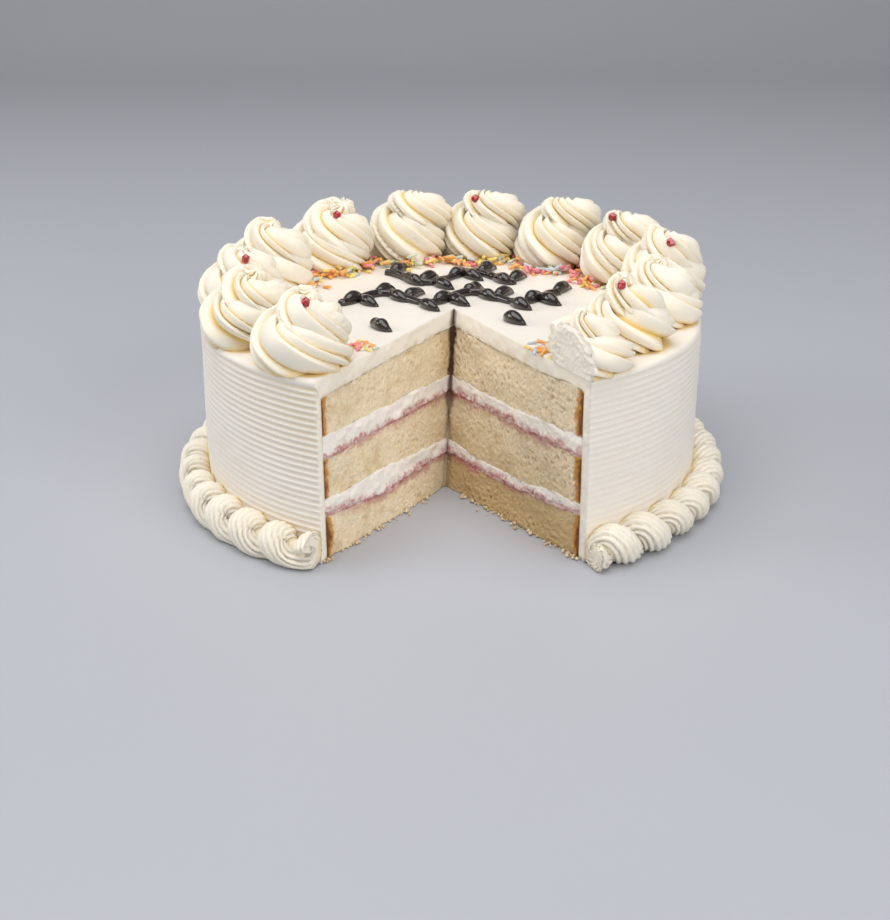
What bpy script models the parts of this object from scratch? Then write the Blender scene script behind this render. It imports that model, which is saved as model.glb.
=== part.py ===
"""Round iced layer cake with one wedge cut out, built at real size in metres.

The origin is on the cake's axis, at the level of its flat underside, and +Z is up.
The missing wedge opens towards -Y. An azimuth is counted from -Y towards +X.
Three sponges are parted by jam and cream, and a skin of icing covers the top and the
combed side. Thirteen piped swirls stand round the top edge, a piped border runs round
the foot, and the sprinkles and the piped garland are fused to the icing.
"""

import math
import random

import bmesh
import bpy
import numpy as np
from mathutils import Vector

# Main sizes
CAKE_RADIUS = 0.101
CAKE_HEIGHT = 0.0712
GAP = 0.0003
ICING_SIDE = 0.0035
ICING_FOOT = 0.0005
SPONGE_RADIUS = CAKE_RADIUS - ICING_SIDE - GAP
COLUMNS = 24

# The wedge: where its inner edge meets the underside and the top, and its two corners
APEX_BASE = (-0.0025, -0.0166)
APEX_TOP = (0.0015, 0.0050)
LEFT_CORNER = math.radians(-28.6)
RIGHT_CORNER = math.radians(28.9)

# Thickness of each layer at the wedge's inner edge, half way out and at the rim, and by
# how much it is thicker at the wedge's left cut than on average, half way out and at the rim
HALF_WAY = 0.55
LAYERS = (
    ("sponge_bottom", (0.0132, 0.0126, 0.0175), (-0.0008, 0.0)),
    ("jam_lower", (0.0015, 0.0015, 0.0012), (0.0, 0.0)),
    ("cream_lower", (0.0040, 0.0062, 0.0041), (0.0031, 0.0012)),
    ("sponge_middle", (0.0183, 0.0180, 0.0172), (-0.0020, -0.0015)),
    ("jam_upper", (0.0015, 0.0015, 0.0012), (0.0, 0.0)),
    ("cream_upper", (0.0058, 0.0060, 0.0071), (0.0011, 0.0008)),
    ("sponge_top", (0.0195, 0.0177, 0.0165), (-0.0013, -0.0018)),
)
LAYER_RINGS = (HALF_WAY, 1.0)

# The icing's rounded rim and its combed side
RIM_ROUND = 0.0022
RIM_BAND = 0.0040
COMB_GROOVES = 26
COMB_DEPTH = 0.0006
COMB_LOWEST = 0.0060
TOP_RINGS = (0.45, 0.8)

# The swirls: azimuth in degrees, distance of the centre from the axis, outer radius,
# height, turn of the ridges in degrees, and whether a red sugar crystal lies on it
SWIRLS = (
    (-38.7, 0.0865, 0.0180, 0.0275, 10, True),
    (-63.5, 0.0860, 0.0176, 0.0285, 200, False),
    (-90.0, 0.0840, 0.0176, 0.0280, 80, True),
    (-116.0, 0.0860, 0.0176, 0.0290, 300, False),
    (-142.0, 0.0880, 0.0176, 0.0300, 150, True),
    (-166.5, 0.0885, 0.0167, 0.0305, 40, False),
    (171.5, 0.0885, 0.0167, 0.0305, 250, True),
    (147.0, 0.0870, 0.0176, 0.0310, 120, False),
    (122.6, 0.0870, 0.0167, 0.0310, 330, True),
    (101.0, 0.0900, 0.0162, 0.0300, 60, True),
    (79.5, 0.0835, 0.0164, 0.0255, 220, False),
    (56.0, 0.0805, 0.0162, 0.0270, 170, True),
    (33.0, 0.0871, 0.0172, 0.0270, 280, False),
)
CUT_SWIRL = 12
RIDGES = 10
RIDGE_GROOVE = 0.20
SWIRL_TWIST = math.radians(115.0)
SWIRL_CURL = math.radians(130.0)
SWIRL_LEVELS = (0.0, 0.08, 0.22, 0.40, 0.56, 0.72, 0.87, 1.0)
SWIRL_SIZES = (0.82, 0.93, 0.98, 0.95, 0.88, 0.77, 0.55, 0.20)
SWIRL_DRIFT = 0.0030
SWIRL_DRIFT_TURN = math.radians(300.0)

# Red sugar crystals
CRYSTAL_RADIUS = 0.0023
CRYSTAL_LEVEL = 0.84
CRYSTAL_SHIFT = 0.42

# The border piped round the foot
BORDER_CURLS = 41
BORDER_WIDTH = 0.0118
BORDER_HEIGHT = 0.0155
BORDER_ENDS = math.radians(1.2)
CURL_SHAPE = ((0.0, 0.66), (0.28, 1.0), (0.66, 0.93))
CURL_SLANT = math.radians(3.2)
BORDER_SECTION = (0.0, 22.0, 42.0, 62.0, 80.0)

# Sprinkles
SPRINKLE_COUNT = 42
SPRINKLE_LENGTH = 0.0062
SPRINKLE_RADIUS = 0.0008
SPRINKLE_SUNK = 0.00035
SPRINKLE_ARC = (math.radians(78.0), math.radians(290.0))
SPRINKLE_BAND = (0.0590, 0.0760)
SPRINKLE_PATCHES = ((-0.0361, -0.0502), (0.0362, -0.0530))
PATCH_SHARE = 0.06
PATCH_SPREAD = 0.0050
SPRINKLE_TRIES = 9000
SEED = 11

# The piped garland: the stroke's width, and how far it is sunk in the icing
STROKE = 0.0028
STROKE_SUNK = 0.0006
STROKE_SIDES = 5
STEM_STEP = 0.0048
STEMS = (((0.0, 0.047), 0.029, 1.5, 0.0080), ((0.0, 0.015), 0.047, 2.5, 0.0075))
LEAVES_PER_WAVE = 4
LEAF_REACH = (0.0070, 0.0085)
LEAF_WIDTHS = (0.8, 1.45, 1.25, 0.45)
LONE_LEAVES = (((-0.0310, -0.0200), -1.0), ((0.0215, -0.0120), -1.0))
CUT_MARGIN = 0.0022

# Colours, each with its roughness
ICING = ((0.88, 0.80, 0.66), 0.55)
SPONGE = ((0.72, 0.55, 0.30), 0.9)
CREAM = ((0.90, 0.86, 0.76), 0.6)
JAM = ((0.36, 0.09, 0.12), 0.35)


def make_material(name, colour, roughness):
    material = bpy.data.materials.new(name)
    material.use_nodes = True
    shader = material.node_tree.nodes["Principled BSDF"]
    shader.inputs["Base Color"].default_value = (*colour, 1.0)
    shader.inputs["Roughness"].default_value = roughness
    shader.inputs["Metallic"].default_value = 0.0
    return material


def tidy_mesh(mesh):
    """Make every face a triangle that faces out of the solid."""
    work = bmesh.new()
    work.from_mesh(mesh)
    bmesh.ops.triangulate(work, faces=work.faces[:])
    bmesh.ops.recalc_face_normals(work, faces=work.faces[:])
    work.to_mesh(mesh)
    work.free()


def add_object(name, points, faces, material):
    mesh = bpy.data.meshes.new(name)
    mesh.from_pydata([tuple(point) for point in points], [], faces)
    mesh.validate()
    tidy_mesh(mesh)
    mesh.materials.append(material)
    thing = bpy.data.objects.new(name, mesh)
    bpy.context.scene.collection.objects.link(thing)
    return thing


def fuse(base, extras):
    """Join the extras to the base with one Boolean union, then remove them."""
    group = bpy.data.collections.new("fused_on_" + base.name)
    for extra in extras:
        group.objects.link(extra)
    union = base.modifiers.new("Union", "BOOLEAN")
    union.operation = "UNION"
    union.operand_type = "COLLECTION"
    union.collection = group
    union.solver = "EXACT"
    bpy.context.view_layer.update()
    graph = bpy.context.evaluated_depsgraph_get()
    joined = bpy.data.meshes.new_from_object(base.evaluated_get(graph))
    base.modifiers.clear()
    base.data = joined
    for extra in extras:
        bpy.data.objects.remove(extra, do_unlink=True)
    bpy.data.collections.remove(group)
    tidy_mesh(base.data)


def on_circle(azimuth, radius, z):
    return Vector((radius * math.sin(azimuth), -radius * math.cos(azimuth), z))


def between(ends, share):
    return ends[0] + (ends[1] - ends[0]) * share


def apex_at(z):
    """The wedge's inner edge leans, so its place depends on the height."""
    share = z / CAKE_HEIGHT
    x = between((APEX_BASE[0], APEX_TOP[0]), share)
    y = between((APEX_BASE[1], APEX_TOP[1]), share)
    return Vector((x, y, z))


def azimuth_at(turn):
    """Azimuth at turn 0 to 1, from the left cut round the back to the right cut."""
    return LEFT_CORNER - turn * (2.0 * math.pi - RIGHT_CORNER + LEFT_CORNER)


def food_point(share, turn, z, radius):
    """A point that lies the given share of the way from the inner edge to the rim."""
    start = apex_at(z)
    return start.lerp(on_circle(azimuth_at(turn), radius, z), share)


def layer_thickness(layer, share, turn):
    _, sizes, leans = layer
    mean = float(np.interp(share, (0.0, HALF_WAY, 1.0), sizes))
    lean = float(np.interp(share, (0.0, HALF_WAY, 1.0), (0.0, *leans)))
    return mean + lean * math.cos(math.pi * turn)


def stack_height(count, share, turn):
    """Height of the top of the given number of layers."""
    return sum(layer_thickness(layer, share, turn) for layer in LAYERS[:count])


def make_layer(index, material):
    """One layer: a disc without its wedge, whose upper and lower faces are dished."""
    turns = [column / COLUMNS for column in range(COLUMNS + 1)]
    lift = 0.0 if index == 0 else GAP / 2.0
    low_apex = stack_height(index, 0.0, 0.0) + lift
    high_apex = stack_height(index + 1, 0.0, 0.0) - GAP / 2.0
    points = [apex_at(low_apex), apex_at(high_apex)]
    grid = {}
    for column, turn in enumerate(turns):
        for ring, share in enumerate(LAYER_RINGS):
            low = stack_height(index, share, turn) + lift
            high = stack_height(index + 1, share, turn) - GAP / 2.0
            for side, z in ((0, low), (1, high)):
                grid[column, ring, side] = len(points)
                points.append(food_point(share, turn, z, SPONGE_RADIUS))
    last = len(LAYER_RINGS) - 1
    faces = []
    for column in range(COLUMNS):
        after = column + 1
        for side in (0, 1):
            faces.append((side, grid[column, 0, side], grid[after, 0, side]))
            for ring in range(last):
                faces.append((grid[column, ring, side], grid[column, ring + 1, side],
                              grid[after, ring + 1, side], grid[after, ring, side]))
        faces.append((grid[column, last, 0], grid[after, last, 0],
                      grid[after, last, 1], grid[column, last, 1]))
    for column in (0, COLUMNS):
        faces.append((0, grid[column, 0, 0], grid[column, 0, 1], 1))
        for ring in range(last):
            faces.append((grid[column, ring, 0], grid[column, ring + 1, 0],
                          grid[column, ring + 1, 1], grid[column, ring, 1]))
    return add_object(LAYERS[index][0], points, faces, material)


def comb_profile():
    """Radius and height of the combed side, from under the rim down to its foot."""
    top = CAKE_HEIGHT - RIM_BAND
    pitch = (top - COMB_LOWEST) / COMB_GROOVES
    profile = [(CAKE_RADIUS, top)]
    for groove in range(COMB_GROOVES):
        z = top - pitch * groove
        profile.append((CAKE_RADIUS - COMB_DEPTH, z - pitch * 0.30))
        profile.append((CAKE_RADIUS, z - pitch))
    profile.append((CAKE_RADIUS, ICING_FOOT))
    return profile


def icing_column(turn):
    """The icing's outline at one azimuth, without its two points on the inner edge."""
    points = [food_point(share, turn, CAKE_HEIGHT, CAKE_RADIUS) for share in TOP_RINGS]
    inner = SPONGE_RADIUS + GAP
    count = len(LAYERS)
    outline = [(CAKE_RADIUS - RIM_ROUND, CAKE_HEIGHT),
               (CAKE_RADIUS - RIM_ROUND * 0.3, CAKE_HEIGHT - RIM_ROUND * 0.3),
               (CAKE_RADIUS, CAKE_HEIGHT - RIM_ROUND)]
    outline += comb_profile()
    outline.append((inner, ICING_FOOT))
    outline.append((inner, stack_height(count, 1.0, turn) + GAP))
    points += [on_circle(azimuth_at(turn), radius, z) for radius, z in outline]
    z = stack_height(count, HALF_WAY, turn) + GAP
    points.append(food_point(HALF_WAY, turn, z, inner))
    return points


def make_icing(material):
    columns = [icing_column(column / COLUMNS) for column in range(COLUMNS + 1)]
    rows = len(columns[0])
    points = [apex_at(CAKE_HEIGHT), apex_at(stack_height(len(LAYERS), 0.0, 0.0) + GAP)]
    for column in columns:
        points += column
    first = [2 + rows * column for column in range(COLUMNS + 1)]
    faces = []
    for here, there in zip(first, first[1:]):
        faces.append((0, here, there))
        faces.append((1, here + rows - 1, there + rows - 1))
        for row in range(rows - 1):
            faces.append((here + row, here + row + 1, there + row + 1, there + row))
    for start in (first[0], first[-1]):
        faces.append((0, *range(start, start + rows), 1))
    return add_object("icing", points, faces, material)


def swirl_centre(swirl):
    azimuth, distance = swirl[:2]
    return on_circle(math.radians(azimuth), distance, CAKE_HEIGHT + GAP)


def swirl_drift(level, turn):
    """How far the rope's middle has moved from the swirl's axis at a level."""
    reach = SWIRL_DRIFT * level * math.sin(math.pi * level * 0.85)
    angle = math.radians(turn) + SWIRL_DRIFT_TURN * level
    return Vector((reach * math.cos(angle), reach * math.sin(angle), 0.0))


def swirl_twist(level):
    """The ridges rise anticlockwise from right to left, and curl faster near the peak."""
    return SWIRL_TWIST * level + SWIRL_CURL * level ** 3


def make_swirl(number, swirl, material):
    """A piped swirl: star-shaped slices that turn, shrink and drift on their way up."""
    radius, height, turn = swirl[2:5]
    centre = swirl_centre(swirl)
    sides = 2 * RIDGES
    points = []
    for level, size in zip(SWIRL_LEVELS, SWIRL_SIZES):
        middle = centre + swirl_drift(level, turn) + Vector((0.0, 0.0, height * level))
        for side in range(sides):
            angle = math.radians(turn) + 2.0 * math.pi * side / sides - swirl_twist(level)
            reach = radius * size * (1.0 if side % 2 == 0 else 1.0 - RIDGE_GROOVE)
            points.append(middle + reach * Vector((math.cos(angle), math.sin(angle), 0.0)))
    faces = [tuple(range(sides))]
    for row in range(len(SWIRL_LEVELS) - 1):
        base = row * sides
        for side in range(sides):
            after = (side + 1) % sides
            faces.append((base + side, base + after, base + sides + after, base + sides + side))
    top = (len(SWIRL_LEVELS) - 1) * sides
    faces.append(tuple(range(top, top + sides)))
    return add_object(f"rosette_{number + 1:02d}", points, faces, material)


def slice_swirl(thing):
    """Cut the last swirl flat where the wedge's right cut runs through it."""
    start = apex_at(CAKE_HEIGHT)
    end = on_circle(RIGHT_CORNER, CAKE_RADIUS, CAKE_HEIGHT)
    along = (end - start).normalized()
    out = Vector((-along.y, along.x, 0.0))
    work = bmesh.new()
    work.from_mesh(thing.data)
    geometry = work.verts[:] + work.edges[:] + work.faces[:]
    bmesh.ops.bisect_plane(work, geom=geometry, dist=1e-6, plane_co=start, plane_no=out,
                           clear_inner=False, clear_outer=False)
    doomed = [vert for vert in work.verts if (vert.co - start).dot(out) < -1e-6]
    bmesh.ops.delete(work, geom=doomed, context="VERTS")
    rim = [edge for edge in work.edges if edge.is_boundary]
    bmesh.ops.contextual_create(work, geom=rim)
    work.to_mesh(thing.data)
    work.free()
    tidy_mesh(thing.data)


def make_crystal(swirl, material):
    """A faceted red crystal, set in the swirl's shoulder on the side of the cake's middle."""
    radius, height = swirl[2:4]
    centre = swirl_centre(swirl)
    inward = Vector((-centre.x, -centre.y, 0.0)).normalized()
    place = centre + inward * radius * CRYSTAL_SHIFT
    place.z += height * CRYSTAL_LEVEL
    mesh = bpy.data.meshes.new("crystal")
    work = bmesh.new()
    bmesh.ops.create_icosphere(work, subdivisions=1, radius=CRYSTAL_RADIUS)
    bmesh.ops.translate(work, verts=work.verts[:], vec=place)
    work.to_mesh(mesh)
    work.free()
    mesh.materials.append(material)
    return bpy.data.objects.new("crystal", mesh)


def border_reach(curl_place):
    places, sizes = zip(*CURL_SHAPE)
    return float(np.interp(curl_place % 1.0, (*places, 1.0), (*sizes, sizes[0])))


def border_column(turn, size):
    """The border's outline at one azimuth: up its back, over its bulge, down to the foot."""
    inner = CAKE_RADIUS + GAP
    start = LEFT_CORNER - BORDER_ENDS
    span = 2.0 * math.pi - 2.0 * BORDER_ENDS - (RIGHT_CORNER - LEFT_CORNER)
    azimuth = start - turn * span
    points = [on_circle(azimuth, inner, 0.0)]
    for angle in BORDER_SECTION:
        slope = math.radians(angle)
        radius = inner + size * BORDER_WIDTH * math.sin(slope) ** 0.8
        z = size * BORDER_HEIGHT * math.cos(slope)
        slant = CURL_SLANT * (z / BORDER_HEIGHT - 0.5)
        if turn in (0.0, 1.0):
            slant = 0.0
        points.append(on_circle(azimuth + slant, radius, z))
    points.append(on_circle(azimuth, inner + size * BORDER_WIDTH * 0.9, 0.0))
    return points


def make_border(material):
    """A ring of piped curls that lean over each other, open at the wedge."""
    steps = [(curl + place) / BORDER_CURLS
             for curl in range(BORDER_CURLS) for place, _ in CURL_SHAPE] + [1.0]
    columns = [border_column(step, border_reach(step * BORDER_CURLS)) for step in steps]
    rows = len(columns[0])
    points = [point for column in columns for point in column]
    faces = []
    for column in range(len(columns) - 1):
        here, there = column * rows, (column + 1) * rows
        for row in range(rows):
            after = (row + 1) % rows
            faces.append((here + row, here + after, there + after, there + row))
    faces.append(tuple(range(rows)))
    faces.append(tuple(range(len(points) - rows, len(points))))
    return add_object("border", points, faces, material)


def garland_strokes():
    """Centre lines, in plan, of two wavy stems with leaves on each side, and lone leaves."""
    strokes = []
    for (x_middle, y_middle), half, waves, height in STEMS:
        count = int(round(2.0 * half / STEM_STEP))
        share = np.linspace(-1.0, 1.0, count)
        y = y_middle + height * np.sin(math.pi * waves * share)
        line = np.stack([x_middle + half * share, y], axis=1)
        strokes.append((line, np.full(count, STROKE)))
        leaves = int(waves * LEAVES_PER_WAVE)
        for leaf in range(leaves):
            at = -1.0 + 2.0 * (leaf + 0.5) / leaves
            foot = (x_middle + half * at, y_middle + height * math.sin(math.pi * waves * at))
            strokes.append(leaf_stroke(foot, 1.0 if leaf % 2 == 0 else -1.0))
    strokes += [leaf_stroke(foot, side) for foot, side in LONE_LEAVES]
    return strokes


def leaf_stroke(foot, side):
    """A leaf: a short bent stroke that swells and ends in a point."""
    share = np.linspace(0.0, 1.0, len(LEAF_WIDTHS))
    x = foot[0] + LEAF_REACH[0] * share
    y = foot[1] + side * LEAF_REACH[1] * np.sin(share * math.pi * 0.5)
    return np.stack([x, y], axis=1), STROKE * np.array(LEAF_WIDTHS)


def make_stroke(line, widths, material):
    """A closed strip of piped chocolate: a rounded section carried along its line."""
    ahead = np.gradient(line, axis=0)
    ahead /= np.linalg.norm(ahead, axis=1)[:, None]
    points = []
    for (x, y), (dx, dy), width in zip(line, ahead, widths):
        for side in range(STROKE_SIDES):
            angle = math.radians(90.0) + 2.0 * math.pi * side / STROKE_SIDES
            across = 0.5 * width * math.cos(angle)
            z = CAKE_HEIGHT + 0.45 * width * (1.0 + math.sin(angle)) - STROKE_SUNK
            points.append((x - dy * across, y + dx * across, z))
    faces = [tuple(range(STROKE_SIDES))]
    for row in range(len(line) - 1):
        base = row * STROKE_SIDES
        for side in range(STROKE_SIDES):
            after = (side + 1) % STROKE_SIDES
            faces.append((base + side, base + after,
                          base + STROKE_SIDES + after, base + STROKE_SIDES + side))
    faces.append(tuple(range(len(points) - STROKE_SIDES, len(points))))
    mesh = bpy.data.meshes.new("stroke")
    mesh.from_pydata(points, [], faces)
    tidy_mesh(mesh)
    mesh.materials.append(material)
    return bpy.data.objects.new("stroke", mesh)


def inside_wedge(x, y, margin):
    """Whether a point of the top lies in the wedge, or nearer to its cuts than the margin."""
    apex = apex_at(CAKE_HEIGHT)
    for corner, sign in ((LEFT_CORNER, 1.0), (RIGHT_CORNER, -1.0)):
        end = on_circle(corner, CAKE_RADIUS, CAKE_HEIGHT)
        along = (end - apex).normalized()
        out = sign * ((x - apex.x) * -along.y + (y - apex.y) * along.x)
        if out < -margin:
            return False
    return True


def sprinkle_ends(draw):
    """Draw one sprinkle: the two ends of its middle line, in plan."""
    heading = draw.uniform(0.0, math.pi)
    middle = on_circle(draw.uniform(*SPRINKLE_ARC), draw.uniform(*SPRINKLE_BAND), 0.0)
    if draw.random() < PATCH_SHARE:
        x, y = draw.choice(SPRINKLE_PATCHES)
        middle = Vector((x + draw.gauss(0.0, PATCH_SPREAD), y + draw.gauss(0.0, PATCH_SPREAD), 0.0))
    reach = Vector((math.cos(heading), math.sin(heading), 0.0)) * SPRINKLE_LENGTH / 2.0
    return middle - reach, middle + reach


def scatter_sprinkles():
    """Ends of the sprinkles that keep clear of the swirls and of each other."""
    draw = random.Random(SEED)
    centres = [(swirl_centre(swirl), swirl[2]) for swirl in SWIRLS]
    kept = []
    for _ in range(SPRINKLE_TRIES):
        if len(kept) == SPRINKLE_COUNT:
            break
        start, end = sprinkle_ends(draw)
        spots = [start, (start + end) / 2.0, end]
        near_swirl = any((spot - centre).xy.length < radius + SPRINKLE_RADIUS + GAP
                         for spot in spots for centre, radius in centres)
        near_other = any((spot - other).xy.length < 3.2 * SPRINKLE_RADIUS
                         for spot in spots for pair in kept
                         for other in (pair[0], (pair[0] + pair[1]) / 2.0, pair[1]))
        in_cut = any(inside_wedge(spot.x, spot.y, CUT_MARGIN) for spot in spots)
        if not near_swirl and not near_other and not in_cut:
            kept.append((start, end))
    return kept


def make_sprinkle(start, end, material):
    """A six-sided strand with a point at each end."""
    along = (end - start).normalized()
    across = Vector((-along.y, along.x, 0.0))
    up = Vector((0.0, 0.0, 1.0))
    height = CAKE_HEIGHT + SPRINKLE_RADIUS - SPRINKLE_SUNK
    points = []
    for foot in (start, end):
        for side in range(6):
            angle = math.radians(60.0 * side + 30.0)
            ring = across * math.cos(angle) + up * math.sin(angle)
            points.append(foot + ring * SPRINKLE_RADIUS + up * height)
    points.append(start - along * SPRINKLE_RADIUS + up * height)
    points.append(end + along * SPRINKLE_RADIUS + up * height)
    faces = []
    for side in range(6):
        after = (side + 1) % 6
        faces.append((side, after, 6 + after, 6 + side))
        faces.append((side, after, 12))
        faces.append((6 + side, 6 + after, 13))
    mesh = bpy.data.meshes.new("sprinkle")
    mesh.from_pydata([tuple(point) for point in points], [], faces)
    tidy_mesh(mesh)
    mesh.materials.append(material)
    return bpy.data.objects.new("sprinkle", mesh)


def make_toppings(chocolate, sugar):
    toppings = []
    for line, widths in garland_strokes():
        if not any(inside_wedge(x, y, CUT_MARGIN) for x, y in line):
            toppings.append(make_stroke(line, widths, chocolate))
    for start, end in scatter_sprinkles():
        toppings.append(make_sprinkle(start, end, sugar))
    return toppings


def main():
    for thing in list(bpy.data.objects):
        bpy.data.objects.remove(thing, do_unlink=True)
    icing = make_material("icing", *ICING)
    sponge = make_material("sponge", *SPONGE)
    cream = make_material("cream", *CREAM)
    jam = make_material("jam", *JAM)
    chocolate = make_material("chocolate", (0.03, 0.015, 0.012), 0.2)
    sugar = make_material("sugar", (0.85, 0.30, 0.05), 0.4)
    crystal = make_material("crystal", (0.30, 0.01, 0.02), 0.15)
    fillings = {"sponge": sponge, "jam": jam, "cream": cream}
    for index, (name, _, _) in enumerate(LAYERS):
        make_layer(index, fillings[name.split("_")[0]])
    skin = make_icing(icing)
    fuse(skin, make_toppings(chocolate, sugar))
    for number, swirl in enumerate(SWIRLS):
        rosette = make_swirl(number, swirl, icing)
        if number == CUT_SWIRL:
            slice_swirl(rosette)
        if swirl[5]:
            fuse(rosette, [make_crystal(swirl, crystal)])
    make_border(icing)


if __name__ == "__main__":
    main()
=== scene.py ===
"""Dresses the layer cake: sponges, fillings, icing, piping and sugar, on a pale stage.

All lengths are in metres in the frame of the CAD model. The cake's axis is the Z axis, it
stands on z = 0, and the missing wedge opens towards -Y. An azimuth is counted from -Y
towards +X, and turn runs from 0 at the wedge's left cut round the back to 1 at its right.
"""

import math

import bmesh
import bpy
import numpy as np
from mathutils import Matrix


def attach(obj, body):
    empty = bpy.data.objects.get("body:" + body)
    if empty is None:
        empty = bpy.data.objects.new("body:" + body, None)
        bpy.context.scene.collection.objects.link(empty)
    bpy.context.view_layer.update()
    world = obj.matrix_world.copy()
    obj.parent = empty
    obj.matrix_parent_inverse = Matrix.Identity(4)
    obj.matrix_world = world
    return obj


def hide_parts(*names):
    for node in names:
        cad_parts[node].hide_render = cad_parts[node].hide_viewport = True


bl_info = {
    "name": "Layer cake",
    "version": (1, 0, 0),
    "blender": (4, 5, 0),
    "location": "View3D > Sidebar > Cake",
    "description": "Builds a cut layer cake with piped icing on its frame",
    "category": "Object",
}

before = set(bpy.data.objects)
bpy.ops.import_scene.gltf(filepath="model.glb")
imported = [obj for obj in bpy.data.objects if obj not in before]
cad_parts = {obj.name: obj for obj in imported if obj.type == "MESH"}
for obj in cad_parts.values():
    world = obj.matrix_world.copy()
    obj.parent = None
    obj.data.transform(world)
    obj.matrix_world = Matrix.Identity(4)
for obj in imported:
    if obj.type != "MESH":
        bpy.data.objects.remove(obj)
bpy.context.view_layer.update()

# Sizes shared with the solids
RADIUS = 0.101
HEIGHT = 0.0712
ICING_SIDE = 0.0035
SPONGE_RADIUS = RADIUS - ICING_SIDE - 0.0003
APEX_BASE = np.array([-0.0025, -0.0166])
APEX_TOP = np.array([0.0015, 0.0050])
LEFT_CORNER = math.radians(-28.6)
RIGHT_CORNER = math.radians(28.9)
HALF_WAY = 0.55
# Name of each layer; its mean thickness at the inner edge, half way and at the rim; and by
# how much it is thicker at the left cut and thinner at the right one, half way and at the rim
LAYERS = (
    ("sponge_bottom", (0.0132, 0.0126, 0.0175), (-0.0008, 0.0)),
    ("jam_lower", (0.0015, 0.0015, 0.0012), (0.0, 0.0)),
    ("cream_lower", (0.0040, 0.0062, 0.0041), (0.0031, 0.0012)),
    ("sponge_middle", (0.0183, 0.0180, 0.0172), (-0.0020, -0.0015)),
    ("jam_upper", (0.0015, 0.0015, 0.0012), (0.0, 0.0)),
    ("cream_upper", (0.0058, 0.0060, 0.0071), (0.0011, 0.0008)),
    ("sponge_top", (0.0195, 0.0177, 0.0165), (-0.0013, -0.0018)),
)
# Height at which the waves of all layers are read
WAVE_HEIGHT = 0.03

# Azimuth in degrees, distance from the axis, radius, height, heading in degrees of the rope's
# end, how far the upper coil has drifted along X and Y, and how much wider it has spread
SWIRLS = (
    (-38.7, 0.0865, 0.0180, 0.0282, 60, 0.0030, 0.0000, 1.00),
    (-63.5, 0.0860, 0.0176, 0.0280, 50, 0.0020, 0.0010, 1.05),
    (-90.0, 0.0840, 0.0176, 0.0270, 100, 0.0010, 0.0010, 1.05),
    (-116.0, 0.0860, 0.0178, 0.0290, 80, 0.0020, 0.0000, 1.10),
    (-142.0, 0.0880, 0.0184, 0.0300, 20, 0.0040, 0.0000, 1.18),
    (-166.5, 0.0885, 0.0184, 0.0312, 170, 0.0045, 0.0000, 1.32),
    (171.5, 0.0885, 0.0180, 0.0308, 165, 0.0045, 0.0000, 1.32),
    (147.0, 0.0870, 0.0186, 0.0308, 175, 0.0045, 0.0000, 1.28),
    (122.6, 0.0870, 0.0180, 0.0302, 150, 0.0030, 0.0000, 1.18),
    (101.0, 0.0900, 0.0170, 0.0304, 110, 0.0010, 0.0000, 1.12),
    (79.5, 0.0835, 0.0166, 0.0255, 60, 0.0000, 0.0000, 1.05),
    (56.0, 0.0805, 0.0164, 0.0265, 80, 0.0000, 0.0000, 1.00),
    (33.0, 0.0871, 0.0172, 0.0215, 100, 0.0020, 0.0000, 0.70),
)

# Stages of a swirl's rope: how far along it is, turns wound, distance from the swirl's axis
# and half width as shares of the radius, middle and half height as shares of the height
ROPE = np.array((
    (0.00, 0.00, 0.10, 0.30, 0.18, 0.24),
    (0.10, 0.25, 0.40, 0.45, 0.20, 0.30),
    (0.20, 0.50, 0.54, 0.51, 0.22, 0.34),
    (0.34, 0.82, 0.56, 0.53, 0.26, 0.38),
    (0.48, 1.12, 0.54, 0.52, 0.32, 0.40),
    (0.60, 1.40, 0.46, 0.50, 0.42, 0.38),
    (0.72, 1.68, 0.36, 0.47, 0.54, 0.33),
    (0.83, 1.95, 0.27, 0.42, 0.69, 0.29),
    (0.92, 2.18, 0.20, 0.36, 0.80, 0.24),
    (0.98, 2.33, 0.18, 0.28, 0.89, 0.17),
    (1.00, 2.38, 0.17, 0.17, 0.94, 0.10),
))

# The camera that the photo was taken with: focal length, target, distance, elevation, roll
# and the width of the sensor that the focal length goes with
LENS = 57.2
TARGET = np.array([-0.0025, 0.0, 0.0049])
DISTANCE = 0.6209
ELEVATION = math.radians(22.356)
ROLL = math.radians(-0.288)
SENSOR = 36.0

# Name, place, width, power and colour of each soft light
LIGHTS = (
    ("overhead", (-0.1, -0.15, 1.3), 1.3, 13.0, (1.0, 0.99, 0.985)),
    ("left", (-1.40, -0.05, 0.68), 0.8, 7.4, (1.0, 0.985, 0.965)),
    ("right", (0.9, -1.1, 0.65), 0.9, 8.7, (1.0, 0.985, 0.96)),
)
LIT_POINT = np.array([0.0, 0.0, 0.05])

# The floor: half its width, its level length, the radius of its bend, and its gap to the cake
FLOOR_REACH = 3.0
FLOOR_LENGTH = 4.2
FLOOR_BEND = 0.6
FLOOR_GAP = 0.0002


# Patterns

def scrambled(x, y, z, seed):
    """Random value from 0 to 1 for each lattice point: its indices are mixed and folded."""
    mixed = (x * 374761393 + y * 668265263 + z * 1103515245 + seed * 97561) & 0xFFFFFFFF
    mixed = ((mixed ^ (mixed >> 13)) * 1274126177) & 0xFFFFFFFF
    return ((mixed ^ (mixed >> 16)) & 0xFFFFFF) / float(0xFFFFFF)


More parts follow.
